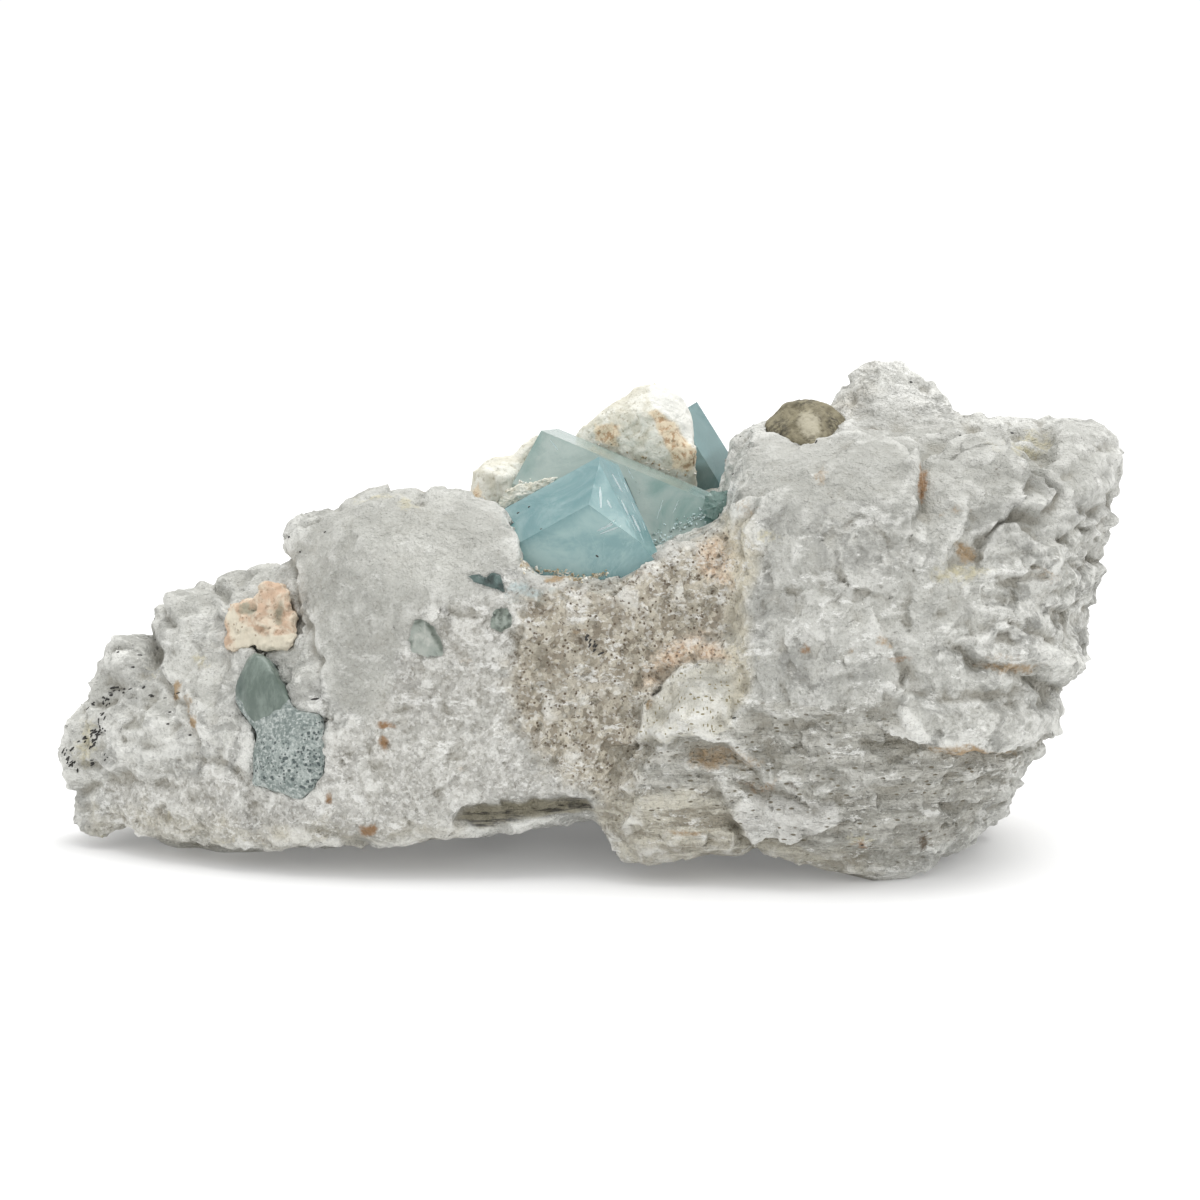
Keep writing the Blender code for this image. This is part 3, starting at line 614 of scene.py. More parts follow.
class Nearest:
    """Several surfaces of which a ray meets the nearest."""

    def __init__(self, *trees):
        self.trees = trees

    def ray_cast(self, start, ray):
        hits = [tree.ray_cast(start, ray) for tree in self.trees]
        hits = [hit for hit in hits if hit[0] is not None]
        return min(hits, key=lambda hit: hit[3]) if hits else (None, None, None, None)


def finish_piece(obj, node, mat, smooth=True):
    obj.data.materials.clear()
    obj.data.materials.append(mat)
    obj.data.polygons.foreach_set("use_smooth", [smooth] * len(obj.data.polygons))
    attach(obj, "root")
    if node:
        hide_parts(node)
    return obj


def mesh_piece(bm, name, mat):
    bmesh.ops.recalc_face_normals(bm, faces=bm.faces)
    return finish_piece(made_of(bm, name), None, mat, smooth=False)


def rock_relief(places, spots, facing):
    """How far each place of the rock stands out."""
    dome = zone(spots, DOME, 10) * facing
    beige = zone(spots, BEIGE, 8) * facing
    sugar = np.maximum(zone(spots, SUGAR, 20) * facing, beige)
    relief = 0.48 * facets(places, 4.6) + 0.36 * facets(places, 2.3, 2)
    relief += 0.14 * rough(places, 1.6, 3)
    relief *= (1 - 0.6 * dome) * (1 - 0.45 * zone(spots, PLATES, 14) * facing)
    relief += sugar * 0.2 * rough(places, 0.9, 2, 3)
    pits = smoothstep(0.35, 0.75, rough(places, 1.4, 1, 4))
    relief -= pits * (0.12 + 0.4 * beige)
    wavy = places[:, 2] + 1.6 * rough(places, 14, 2, 5) + 0.12 * places[:, 0]
    layers = np.abs((wavy / LAYER_THICKNESS) % 1 - 0.5) * 2
    low = smoothstep(26, 12, places[:, 2]) * (0.35 + 0.65 * smoothstep(-2, 12, places[:, 0]))
    relief += 0.42 * low * (layers - 0.5) * (0.5 + 0.5 * rough(places, 7, 1, 6))
    for line, high, height, fade in STEPS:
        distance, side = edge_distance(spots, line)
        on_high = smoothstep(-1.5, 1.5, distance * side * high)
        relief += facing * height * smoothstep(fade, 0, distance) * (on_high - 0.35)
    for *oval, height in LUMPS:
        relief += facing * height * blob(spots, oval, 1.25, 0.2)
    for cuts, share in ((GROOVES, facing), (NOTCHES, 1)):
        for line, width, depth in cuts:
            distance, _ = edge_distance(spots, line)
            relief -= share * depth * np.exp(-((distance / width) ** 2))
    ragged = smoothstep(36, 50, places[:, 0]) + smoothstep(-44, -54, places[:, 0])
    return relief + 0.75 * ragged * rough(places * np.array((0.5, 0.5, 1.5)), 2.6, 3, 10)


def hollows(obj, places, normals, rounds=36):
    """How far each place lies under (above zero) or over the evened-out surface around it."""
    ends = np.empty(len(obj.data.edges) * 2, int)
    obj.data.edges.foreach_get("vertices", ends)
    first, last = ends.reshape(-1, 2).T
    count = len(places)
    links = np.bincount(first, minlength=count) + np.bincount(last, minlength=count)
    even = places.copy()
    for _ in range(rounds):
        for axis in range(3):
            total = np.bincount(first, even[last, axis], count)
            total = total + np.bincount(last, even[first, axis], count)
            even[:, axis] = 0.3 * even[:, axis] + 0.7 * total / np.maximum(links, 1)
    return ((even - places) * normals).sum(1)


def seat_of(surface, outline):
    """The place and the direction of a small chip set in the surface."""
    hits = [cast(surface, *point) for point in grown(outline, -1.5)]
    place = sum((hit[0] for hit in hits), Vector()) / len(hits)
    normal = sum((hit[1] for hit in hits), Vector()).normalized()
    return place, (normal - VIEW_FORWARD * 1.5).normalized()


def seat_chips(obj, places, spots, sunk=0.2):
    """Flattens the rock where the small chips are set into it."""
    put_places(obj, places)
    surface = surface_of(obj)
    for outline in CHIPS.values():
        place, normal = seat_of(surface, outline)
        height = (places - np.array(place)) @ np.array(normal)
        share = zone(spots, grown(outline, 2), 3) * (np.abs(height) < 2)
        places -= np.array(normal) * (share * np.maximum(0, height + sunk))[:, None]


def white_rims(spots):
    """Painted highlight: the bright bands on the high side of the broken edges."""
    total = np.zeros(len(spots))
    for line, high, _, _ in STEPS:
        distance, side = edge_distance(spots, line)
        behind = distance * side * high
        total = np.maximum(total, smoothstep(-2, 1, behind) * smoothstep(12, 2, behind))
    return total


def close_gaps(places, reach=1.1, sunk=0.06, whole=0.55):
    """Draws the rock in against the crystals and grains in it, and tells how much at each place."""
    drawn = np.zeros(len(places))
    for name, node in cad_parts.items():
        if name == "matrix" or name in CHIPS:
            continue
        tree = surface_of(node)
        low, high = (np.array(corner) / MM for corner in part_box(name))
        near = np.all((places > low - reach) & (places < high + reach), 1)
        for i in np.nonzero(near)[0]:
            place = Vector(places[i])
            hit, normal, _, gap = tree.find_nearest(place)
            if gap < reach and (place - hit).dot(normal) > 0:
                pull = min(1.0, (reach - gap) / (reach - whole))
                places[i] += np.array((hit - normal * sunk - place) * pull)
                drawn[i] = pull if name.startswith("aquamarine") else 0
    return drawn


def fill_sockets(obj, sunk=1.3, grow=1.5):
    """Fills the sockets of the small grains, whose shown pieces are chips set in the surface."""
    bm = bmesh.new()
    bm.from_mesh(obj.data)
    for node in CHIPS:
        low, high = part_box(node)
        middle = (Vector(low) + Vector(high)) / 2
        before = set(bm.verts)
        bm.from_mesh(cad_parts[node].data)
        for vert in set(bm.verts) - before:
            vert.co = middle + (vert.co - middle) * grow + VIEW_FORWARD * sunk * MM
    bm.to_mesh(obj.data)
    bm.free()


def make_rock():
    """The matrix as a dense mesh: finer on the front, with relief and with masks for its zones."""
    obj = copy_of("matrix", "rock")
    fill_sockets(obj)
    even_out(obj, ROCK_VOXEL, 4)
    places, normals = places_of(obj), normals_of(obj)
    spots, warped = seen_at(places), drifted(places, 4.0, 9)
    facing = smoothstep(0.25, -0.15, normals[:, 1]) * smoothstep(6, -2, places[:, 1])
    relief = rock_relief(places, warped, facing) * smoothstep(0.05, 1.5, places[:, 2])
    places = places + normals * relief[:, None]
    seat_chips(obj, places, spots)
    drawn = close_gaps(places)
    put_places(obj, places)
    under = hollows(obj, places, normals_of(obj))
    for name, soft, shapes in ZONES:
        add_masks(obj, warped, ((name, shapes),), soft, facing)
    foot = np.maximum(zone(warped, FOOT, 18), 0.7 * zone(warped, LEFT_FOOT, 20))
    uneven = normals[:, 2] + 0.25 * rough(places, 2.5, 2, 9)
    masks = {
        "foot": foot * facing,
        "slit": zone(spots, SLIT, 3) * facing,
        # painted highlight along the broken edges
        "lip": white_rims(warped) * facing,
        # painted light where the rock meets the crystals
        "socket": drawn,
        # painted shade on the upward faces
        "top": smoothstep(0.25, 0.95, uneven) * smoothstep(412, 455, spots[:, 1]),
        "block": smoothstep(735, 750, warped[:, 0]),
        "shade": smoothstep(735, 765, warped[:, 0]) * smoothstep(420, 520, warped[:, 1]),
        "unseen": 1 - facing,
        # painted shade in the hollows
        "hollow": smoothstep(0.03, 0.5, under),
        # painted highlight on the crests
        "crest": smoothstep(-0.06, -0.45, under),
    }
    for name, values in masks.items():
        add_mask(obj, name, values)
    for name, (_, ovals) in STAINS_AND_PAINTED_LIGHT.items():
        add_mask(obj, name, oval_mask(warped, ovals) * facing)
    thin_back(obj, places, normals)
    return obj


def thin_back(obj, places, normals, levels=5):
    """Takes triangles off the rock's back and underside until it has ROCK_TRIANGLES."""
    back = obj.vertex_groups.new(name="back")
    behind = smoothstep(-0.1, 0.5, normals[:, 1]) + smoothstep(0.3, -0.6, normals[:, 2])
    behind = np.clip(behind + smoothstep(4, 14, places[:, 1]), 0, 1)
    for level in range(1, levels + 1):
        picked = np.nonzero((behind * levels).astype(int) == level)[0].tolist()
        back.add(picked, level / levels, "REPLACE")
    modify(obj, "DECIMATE", vertex_group="back", ratio=min(1.0, ROCK_TRIANGLES / triangles(obj)),
           use_collapse_triangulate=True)
    obj.vertex_groups.clear()


def sharpen(obj):
    """Flat facets where the rock is granular, smooth ones elsewhere."""
    def values(name):
        found = np.empty(len(obj.data.vertices), np.float32)
        obj.data.attributes[name].data.foreach_get("value", found)
        return found

    granular = np.maximum(np.maximum(values("sugar"), values("beige")), values("fibres"))
    granular = np.maximum(granular, values("block") - values("plates") - values("unseen"))
    corners = np.array([p.vertices[0] for p in obj.data.polygons])
    obj.data.polygons.foreach_set("use_smooth", granular[corners] < 0.5)


class Paint:
    """A material built from nodes, with short ways to add and link them."""

    def __init__(self, name):
        self.material = bpy.data.materials.new(name)
        self.material.use_nodes = True
        self.tree = self.material.node_tree
        self.shader = self.tree.nodes["Principled BSDF"]
        self.place = self.tree.nodes.new("ShaderNodeTexCoord").outputs["Object"]
        self.base = None

    def put(self, socket, value):
        """Sets a socket to a number or a tone, or links it to what a node gives."""
        if isinstance(value, tuple):
            if max(value) > 1:
                value = tuple(((c / 255 + 0.055) / 1.055) ** 2.4 for c in value)
            socket.default_value = (*value, 1)
        elif isinstance(value, (int, float)):
            socket.default_value = value
        else:
            self.tree.links.new(value, socket)

    def set(self, **values):
        for key, value in values.items():
            self.put(self.shader.inputs[key.replace("_", " ")], value)

    def done(self, bumps, **values):
        """The material with what was laid, these bumps and the other values."""
        self.set(Base_Color=self.base, Normal=bumps, **values)
        return self.material

    def node(self, kind, values, **settings):
        node = self.tree.nodes.new("ShaderNode" + kind)
        for key, value in settings.items():
            setattr(node, key, value)
        for key, value in values.items():
            self.put(node.inputs[key], value)
        return node

    def stretched(self, stretch):
        if not stretch:
            return self.place
        node = self.node("Mapping", {"Vector": self.place})
        node.inputs["Scale"].default_value = stretch
        return node.outputs["Vector"]

    def noise(self, scale, detail, rough, distortion=0.0, stretch=None):
        values = {"Scale": scale, "Detail": detail, "Roughness": rough, "Distortion": distortion}
        return self.node("TexNoise", {**values, "Vector": self.stretched(stretch)}).outputs["Fac"]

    def ridges(self, scale, width, detail, distortion, stretch=None):
        """Thin winding lines, 1 on the line."""
        field = self.noise(scale, detail, 0.6, distortion, stretch)
        away = self.math("ABSOLUTE", self.math("SUBTRACT", field, 0.5), 0.0)
        return self.ramp(away, width, 0.0)

    def cells(self, scale, stretch=None):
        node = self.node("TexVoronoi", {"Scale": scale, "Vector": self.stretched(stretch)})
        return node.outputs["Distance"], node.outputs["Color"]

    def dots(self, scale, radius, share, stretch=None):
        """Scattered dots. The radius is in parts of the spacing, the share is of the places."""
        distance, chance = self.cells(scale, stretch)
        near = self.ramp(distance, radius, radius * 0.55)
        return self.times(near, self.math("LESS_THAN", chance, share))

    def mask(self, name):
        return self.node("Attribute", {}, attribute_name=name).outputs["Fac"]

    def edged(self, name, field, amount, low, high):
        wobble = self.times(self.math("SUBTRACT", field, 0.5), amount)
        return self.ramp(self.math("ADD", self.mask(name), wobble), low, high)

    def broken(self, name, field, amount=0.7):
        """A mask whose edge is broken up by a noise field."""
        return self.edged(name, field, amount, 0.38, 0.62)

    def soaked(self, name, field):
        """A mask that soaks into the grain and fades at its edge, for stains and painted shade alike."""
        return self.edged(name, field, 1.1, 0.25, 0.95)

    def ramp(self, source, low, high, start=0.0, end=1.0):
        values = {"From Min": low, "From Max": high, "To Min": start, "To Max": end, "Value": source}
        return self.node("MapRange", values, interpolation_type="SMOOTHSTEP").outputs["Result"]

    def math(self, operation, first, second):
        return self.node("Math", {0: first, 1: second}, operation=operation).outputs[0]

    def times(self, first, second):
        return self.math("MULTIPLY", first, second)

    def mix(self, share, first, second, blend="MIX"):
        values = {0: share, 6: first, 7: second}
        return self.node("Mix", values, data_type="RGBA", blend_type=blend).outputs[2]

    def tones(self, field, low, high, first, second):
        """One tone where a field is low, another where it's high."""
        return self.mix(self.ramp(field, low, high), first, second)

    def lay(self, tone, share, scale=None, blend="MIX"):
        """Lays a tone over the colour so far, by a share that may be scaled."""
        share = share if scale is None else self.times(share, scale)
        self.base = self.mix(share, self.base, tone, blend)

    def bump(self, height, strength, distance, onto=None):
        values = {"Strength": strength, "Distance": distance * MM, "Height": height}
        if onto is not None:
            values["Normal"] = onto
        return self.node("Bump", values).outputs["Normal"]


def rock_paint():
    p = Paint("white_feldspar_look")
    clouds = p.noise(85, 4, 0.6, 0.7)
    patches = p.noise(280, 4, 0.66, 0.8)
    wisps = p.noise(180, 5, 0.74, 0.25, (0.8, 1.0, 1.5))
    grain = p.noise(1500, 2, 0.65)
    fine = p.noise(3600, 2, 0.65)
    fibre = p.noise(420, 4, 0.68, 0.35, (0.3, 0.8, 2.0))
    flakes = p.ramp(p.noise(430, 5, 0.8, 0.2, (0.6, 1.0, 1.4)), 0.55, 0.60)
    coarse_grains, fine_grains = p.cells(1150)[1], p.cells(2900)[1]
    granular = p.math("MAXIMUM", p.mask("sugar"), p.mask("beige"))

    p.base = p.tones(clouds, 0.40, 0.58, (158, 158, 153), (188, 188, 182))
    p.lay((206, 206, 200), p.ramp(patches, 0.44, 0.60))
    wisp = p.times(p.ramp(wisps, 0.49, 0.57), p.ramp(clouds, 0.68, 0.44))
    p.lay(ROCK_WHITE, wisp, p.ramp(p.mask("block"), 0, 1, 0.3, 0.75))
    plate = p.tones(clouds, 0.4, 0.6, (162, 162, 156), (190, 190, 185))
    quartz = p.tones(clouds, 0.38, 0.62, (162, 162, 155), (190, 190, 183))
    sugar = p.tones(coarse_grains, 0.25, 0.75, (160, 157, 150), (205, 203, 197))
    fibres = p.tones(fibre, 0.42, 0.60, (140, 138, 128), (194, 192, 183))
    foot = p.tones(fibre, 0.38, 0.6, (146, 138, 120), (202, 197, 180))
    beige = p.tones(coarse_grains, 0.25, 0.8, (134, 123, 104), (190, 182, 164))
    beige = p.mix(p.ramp(patches, 0.5, 0.62, 0, 0.6), beige, (194, 187, 171))
    pink = p.tones(grain, 0.40, 0.6, (196, 166, 138), (228, 211, 189))
    p.lay(plate, p.soaked("plates", patches), 0.7)
    p.lay(quartz, p.soaked("dome", patches), 0.8)
    p.lay(sugar, p.soaked("sugar", patches), 0.5)
    p.lay(fibres, p.broken("fibres", clouds), 0.75)
    p.lay(foot, p.soaked("foot", patches), 0.75)
    p.lay((204, 203, 198), p.broken("white_chip", patches), 0.75)
    p.lay(beige, p.soaked("beige", patches), 0.9)
    p.lay(pink, p.soaked("pink", grain), 0.9)
    p.lay((208, 205, 192), p.broken("chalk", grain, 0.4), 0.9)
    p.lay((206, 198, 175), p.mask("seam"), 0.7)

    # The sides that the photo doesn't show have warm and rusty places of their own.
    warm = p.ramp(p.noise(38, 4, 0.6, 0.5, (1.0, 1.0, 1.8)), 0.50, 0.62)
    warm = p.times(p.times(warm, p.mask("unseen")), p.ramp(patches, 0.35, 0.6, 0.3, 1.0))
    p.lay(beige, warm, 0.75)
    rusty = p.times(p.ramp(p.noise(120, 4, 0.65), 0.66, 0.72), p.mask("unseen"))
    p.lay((164, 132, 96), rusty, 0.6)
    p.lay((0.84, 0.84, 0.835), p.mask("shade"), blend="MULTIPLY")

    calm = p.ramp(p.math("MAXIMUM", p.mask("dome"), p.mask("plates")), 0, 1, 1.0, 0.45)
    p.lay(ROCK_DARK, p.ramp(grain, 0.45, 0.28, 0, 0.34), calm)
    p.lay(ROCK_DARK, p.ramp(fine, 0.46, 0.28, 0, 0.40))
    bright = p.math("GREATER_THAN", fine_grains, 0.74)
    p.lay((234, 234, 230), bright, p.ramp(granular, 0, 1, 0.1, 0.34))
    dull = p.math("LESS_THAN", fine_grains, 0.26)
    p.lay((126, 122, 110), dull, p.ramp(granular, 0, 1, 0.1, 0.35))
    flaky = p.times(p.times(flakes, p.ramp(wisps, 0.42, 0.54)), calm)
    p.lay((232, 232, 228), flaky, 0.7)
    # Painted shade in the hollows of the relief.
    p.lay((134, 129, 115), p.mask("hollow"), 0.62)
    # Painted highlight on the raised crests.
    p.lay(ROCK_WHITE, p.mask("crest"), p.ramp(patches, 0.38, 0.58, 0.0, 0.6))
    # Painted highlight along the high side of the broken edges.
    p.lay(ROCK_WHITE, p.mask("lip"), p.ramp(patches, 0.38, 0.58, 0.0, 0.3))
    # Painted shade on the upward faces below the peak, to offset the overhead lamp.
    p.lay((160, 160, 153), p.mask("top"), p.ramp(patches, 0.40, 0.56, 0.75, 0.45))
    # Painted light: the rock against the aquamarine crystals is lightened, standing in for light let in
    # through them.
    p.lay((222, 219, 209), p.mask("socket"), p.ramp(patches, 0.36, 0.56, 0.1, 0.6))
    p.lay((120, 114, 100), p.ridges(190, 0.005, 4, 0.8), 0.35)

    # The stains, and the painted shade and painted blue glow that are laid with them.
    for name, (tone, _) in STAINS_AND_PAINTED_LIGHT.items():
        p.lay(tone, p.soaked(name, grain))
    streaks = p.ridges(300, 0.08, 4, 0.5, (0.22, 1.0, 2.4))
    p.lay(p.mix(streaks, (136, 131, 113), (44, 41, 32)), p.mask("slit"), 0.95)

    p.lay((48, 45, 38), p.dots(620, 0.2, 0.2, (1.0, 1.0, 0.7)), p.mask("unseen"))
    pits = p.math("MAXIMUM", p.times(p.ramp(grain, 0.38, 0.32), 0.8), p.dots(1700, 0.34, 0.36))
    p.lay((92, 79, 62), pits, p.math("MAXIMUM", p.mask("beige"), p.times(warm, 0.7)))
    dashes = p.dots(1500, 0.36, 0.34, (2.0, 1.0, 0.8))
    dashes = p.math("MAXIMUM", dashes, p.dots(1300, 0.34, 0.32, (0.8, 1.0, 1.9)))
    p.lay((136, 128, 98), dashes, p.mask("chalk"))
    p.lay((112, 106, 90), p.dots(1300, 0.34, 0.34, (0.6, 1.0, 1.5)), p.mask("fibres"))

    glassy = p.ramp(p.mask("dome"), 0, 1, 1.0, 0.68)
    bumps = p.bump(p.times(fibre, p.mask("fibres")), 0.9, 0.9, p.bump(patches, 0.6, 0.9))
    bumps = p.bump(fine, 0.9, 0.18, p.bump(grain, 0.9, 0.5, bumps))
    return p.done(bumps, Roughness=p.times(p.ramp(patches, 0.35, 0.65, 0.5, 0.75), glassy))


def crystal_paint(name, tone, milky, deep, depth_tone, density, clear, roughness):
    """Clear beryl: plain transmission, index and absorption, with haze in its surface colour."""
    p = Paint(name)
    haze = p.noise(130, 6, 0.62, 0.9)
    p.base = p.mix(p.ramp(haze, 0.38, 0.66, 0, 0.6), tone, milky)
    p.lay(milky, p.ridges(260, 0.02, 5, 1.0, (1, 1, 0.5)), 0.35)
    # Milky and deep places; on the front crystal the milky ones also carry a painted glow and the deep
    # ones are painted shade.
    p.lay(milky, p.mask("milky"), p.ramp(haze, 0.36, 0.6, 0.1, 0.9))
    p.lay(deep, p.mask("deep"), p.ramp(haze, 0.7, 0.4, 0.3, 0.9))
    absorb = p.node("VolumeAbsorption", {"Color": depth_tone, "Density": density})
    p.put(p.tree.nodes["Material Output"].inputs["Volume"], absorb.outputs["Volume"])
    bumps = p.bump(p.noise(900, 3, 0.6, 0.3, (1, 1, 0.2)), 0.25, 0.12, p.bump(haze, 0.3, 0.5))
    return p.done(bumps, Transmission_Weight=clear, IOR=BERYL_IOR, Roughness=roughness)


def veil_and_glint_paint(name, clear):
    """The white of the healed cracks in the beryl, and of the painted reflections and glints on it."""
    p = Paint(name)
    cloud = p.noise(900, 4, 0.6, 0.5)
    p.set(Base_Color=p.mix(cloud, (182, 208, 210), (232, 242, 242)))
    p.set(Transmission_Weight=clear, IOR=1.45, Roughness=0.3)
    return p.material


def crumb_paint(name, dark, light):
    p = Paint(name)
    patches = p.noise(1100, 2, 0.5)
    fine = p.noise(4200, 3, 0.6)
    p.base = p.tones(patches, 0.40, 0.50, dark, light)
    p.lay((232, 231, 224), p.ramp(patches, 0.52, 0.60))
    p.lay((110, 98, 76), p.ramp(fine, 0.46, 0.3, 0, 0.6))
    return p.done(p.bump(fine, 0.8, 0.2), Roughness=0.7)


def grain_paint(name, tone, light, dark, panel, roughness=0.7):
    """Opaque grains: two tones in patches, dark pits and a sugary surface."""
    p = Paint(name)
    patches = p.noise(420, 4, 0.62, 0.6)
    grain = p.noise(1700, 4, 0.6)
    p.base = p.tones(patches, 0.40, 0.60, tone, light)
    p.lay(dark, p.ramp(grain, 0.46, 0.30, 0, 0.6))
    p.lay(p.tones(grain, 0.36, 0.54, (176, 138, 98), (222, 206, 178)), p.soaked("rust", grain), 0.9)
    p.lay(panel, p.soaked("pale", grain), 0.9)
    p.lay((146, 147, 130), p.soaked("window", grain), 0.85)
    p.lay(dark, p.times(p.dots(1900, 0.34, 0.24), p.mask("pits")), 0.75)
    p.lay(dark, p.mask("dark"), p.ramp(grain, 0.62, 0.42, 0, 0.65), "MULTIPLY")
    return p.done(p.bump(grain, 0.7, 0.3, p.bump(patches, 0.5, 0.6)), Roughness=roughness)


def etched_paint():
    """The grey-green mass: a smooth prism above, etched dark-pitted grains below."""
    p = Paint("etched_beryl_look")
    patches = p.noise(260, 4, 0.6, 0.8)
    grain = p.noise(2300, 4, 0.65)
    streaks = p.noise(520, 5, 0.7, 0.1, (1.0, 1.0, 0.3))
    p.base = p.tones(patches, 0.38, 0.6, (126, 136, 132), (158, 166, 162))
    p.lay((190, 196, 193), p.ramp(grain, 0.52, 0.62, 0, 0.8))
    p.lay((92, 105, 103), p.ramp(grain, 0.47, 0.38, 0, 0.7))
    prism = p.broken("prism", patches, 0.5)
    p.lay(p.tones(streaks, 0.38, 0.64, (88, 101, 93), (120, 132, 124)), prism)
    pits = p.math("MAXIMUM", p.dots(1500, 0.4, 0.42), p.dots(2600, 0.4, 0.5))
    pits = p.times(pits, p.mask("pitted"))
    p.lay((56, 69, 69), pits, 0.85)
    p.lay((72, 86, 80), p.mask("rim"), 0.7)
    height = p.math("SUBTRACT", p.times(grain, p.ramp(prism, 0, 1, 1.0, 0.2)), pits)
    return p.done(p.bump(height, 0.7, 0.3), Roughness=p.ramp(prism, 0, 1, 0.65, 0.3))


def needle_paint():
    p = Paint("tourmaline_look")
    streaks = p.noise(2500, 2, 0.5)
    p.set(Base_Color=p.mix(streaks, (0.006, 0.006, 0.006), (0.035, 0.032, 0.026)), Roughness=0.3)
    return p.material


def make_crystal(node, name, mat, masks=()):
    """A crystal with worn edges, cut fine enough to carry its milky and deep places."""
    obj = copy_of(node, name)
    modify(obj, "BEVEL", width=WORN_EDGE * MM, segments=2, limit_method="ANGLE")
    bm = bmesh.new()
    bm.from_mesh(obj.data)
    bmesh.ops.triangulate(bm, faces=bm.faces)
    for _ in range(6):
        long_edges = [e for e in bm.edges if e.calc_length() > CRYSTAL_EDGE * MM]
        if not long_edges:
            break
        bmesh.ops.subdivide_edges(bm, edges=long_edges, cuts=1)
        bmesh.ops.triangulate(bm, faces=bm.faces)
    bm.to_mesh(obj.data)
    bm.free()
    add_masks(obj, seen_at(places_of(obj)), masks, 8)
    return finish_piece(obj, node, mat, smooth=False)


def make_grain(node, name, mat, voxel, size, masks=(), holes=()):
    """A grain of the rock with facets, roughness and hollows. holes are stains."""
    obj = copy_of(node, name)
    even_out(obj, voxel, 14)
    places, normals = places_of(obj), normals_of(obj)
    relief = facets(places, 2.6) + 0.7 * facets(places, 1.2) + 0.5 * rough(places, 1.0, 3)
    relief *= size
    spots = seen_at(places)
    for *oval, strength in holes:
        relief -= strength * blob(spots, oval, 1.2, 0.4)
    put_places(obj, places + normals * relief[:, None])
    front = smoothstep(0.4, -0.1, normals[:, 1])
    add_masks(obj, drifted(places, 2.0, 4), masks, 4, front)
    return finish_piece(obj, node, mat)


def make_chip(node, name, outline, rock, mat, proud=0.25, depth=1.6, bulge=0.25, masks=()):
    """A grain with the photo's outline, a little proud of the rock and set into it."""
    rng = random.Random(name)
    place, normal = seat_of(rock, outline)
    bm = bmesh.new()
    front, back = [], []
    for across, down in outline:
        ray = sight(across, down)
        corner = VIEW_EYE + ray * ((place - VIEW_EYE).dot(normal) / ray.dot(normal))
        front.append(bm.verts.new((corner + normal * (proud + rng.uniform(-0.08, 0.08))) * MM))
        back.append(bm.verts.new((place + (corner - place) * 0.75 - normal * depth) * MM))
    middle = bm.verts.new((place + normal * (proud + bulge)) * MM)
    for i in range(len(front)):
        j = (i + 1) % len(front)
        bm.faces.new((front[i], front[j], middle))
        bm.faces.new((front[j], front[i], back[i], back[j]))
    bm.faces.new(back)
    bmesh.ops.triangulate(bm, faces=bm.faces)
    bmesh.ops.recalc_face_normals(bm, faces=bm.faces)
    for _ in range(3):
        bmesh.ops.subdivide_edges(bm, edges=bm.edges, cuts=1)
        bmesh.ops.triangulate(bm, faces=bm.faces)
    obj = made_of(bm, name)
    places, normals = places_of(obj), normals_of(obj)
    relief = 0.16 * facets(places, 1.3) + 0.10 * facets(places, 0.6) + 0.05 * rough(places, 0.4, 2)
    put_places(obj, places + normals * relief[:, None])
    add_masks(obj, drifted(places, 0.8, 1.5, (1, 2)), masks, 1.5)
    return finish_piece(obj, node, mat, smooth=False)


def add_crumb(bm, place, sizes, rng):
    """A small broken stone: the hull of a few places round its middle."""
    turn = Matrix.Rotation(rng.uniform(0, 6.28), 3, Vector([rng.gauss(0, 1) for _ in range(3)]))
    made = []
    for _ in range(9):
        shape = Vector([rng.gauss(0, 1) for _ in range(3)]).normalized() * rng.uniform(0.8, 1.1)
        shape = Vector([c * size for c, size in zip(shape, sizes)])
        made.append(bm.verts.new((place + turn @ shape) * MM))
    bmesh.ops.convex_hull(bm, input=made)
    bmesh.ops.delete(bm, geom=[vert for vert in made if not vert.link_faces], context="VERTS")


def along(line, rng):
    """A random place on a line."""
    points = np.array(line, float)
    i = rng.randrange(len(points) - 1)
    return points[i] + (points[i + 1] - points[i]) * rng.random()


def make_crumbs(surface, name, line, count, spread, size, mat, seed):
    """Crumbs scattered along a line of the photo, resting in the surface."""
    rng = random.Random(seed)
    bm = bmesh.new()
    for _ in range(count):
        across, down = along(line, rng)
        across += rng.gauss(0, spread)
        down += rng.gauss(0, spread)
        hit, _ = cast(surface, across, down)
        radius = size * rng.uniform(0.5, 1.3)
        if hit is not None:
            add_crumb(bm, hit, (radius, radius * 0.8, radius * 0.6), rng)
    return mesh_piece(bm, name, mat)


def make_needles(surface, name, needles, mat, rows=()):
    """Needles lying in the surface: single ones, and rows of them between two places."""
    rng = random.Random(11)
    needles = list(needles)
    for start, end, count, slope in rows:
        for _ in range(count):
            across, down = Vector(start).lerp(Vector(end), rng.random())
            spot = across + rng.gauss(0, 2.2), down + rng.gauss(0, 2.2)
            needles.append((*spot, rng.uniform(1.2, 4.2), slope + rng.gauss(0, 18)))
    bm = bmesh.new()
    for across, down, half, slope in needles:
        place, normal = cast(surface, across, down)
        if place is None:
            continue
        length = half / VIEW_SCALE
        run = Vector((math.cos(math.radians(slope)), 0, math.sin(math.radians(slope))))
        run = (run - normal * run.dot(normal)).normalized()
        side = normal.cross(run)
        width = min(length, 0.11 + 0.05 * rng.random())
        made = bmesh.ops.create_icosphere(bm, subdivisions=1, radius=1)["verts"]
        for vert in made:
            x, y, z = (c * (1 + rng.uniform(-0.15, 0.15)) for c in vert.co)
            vert.co = (place + run * x * length + side * y * width + normal * z * width * 0.7) * MM
    return mesh_piece(bm, name, mat)


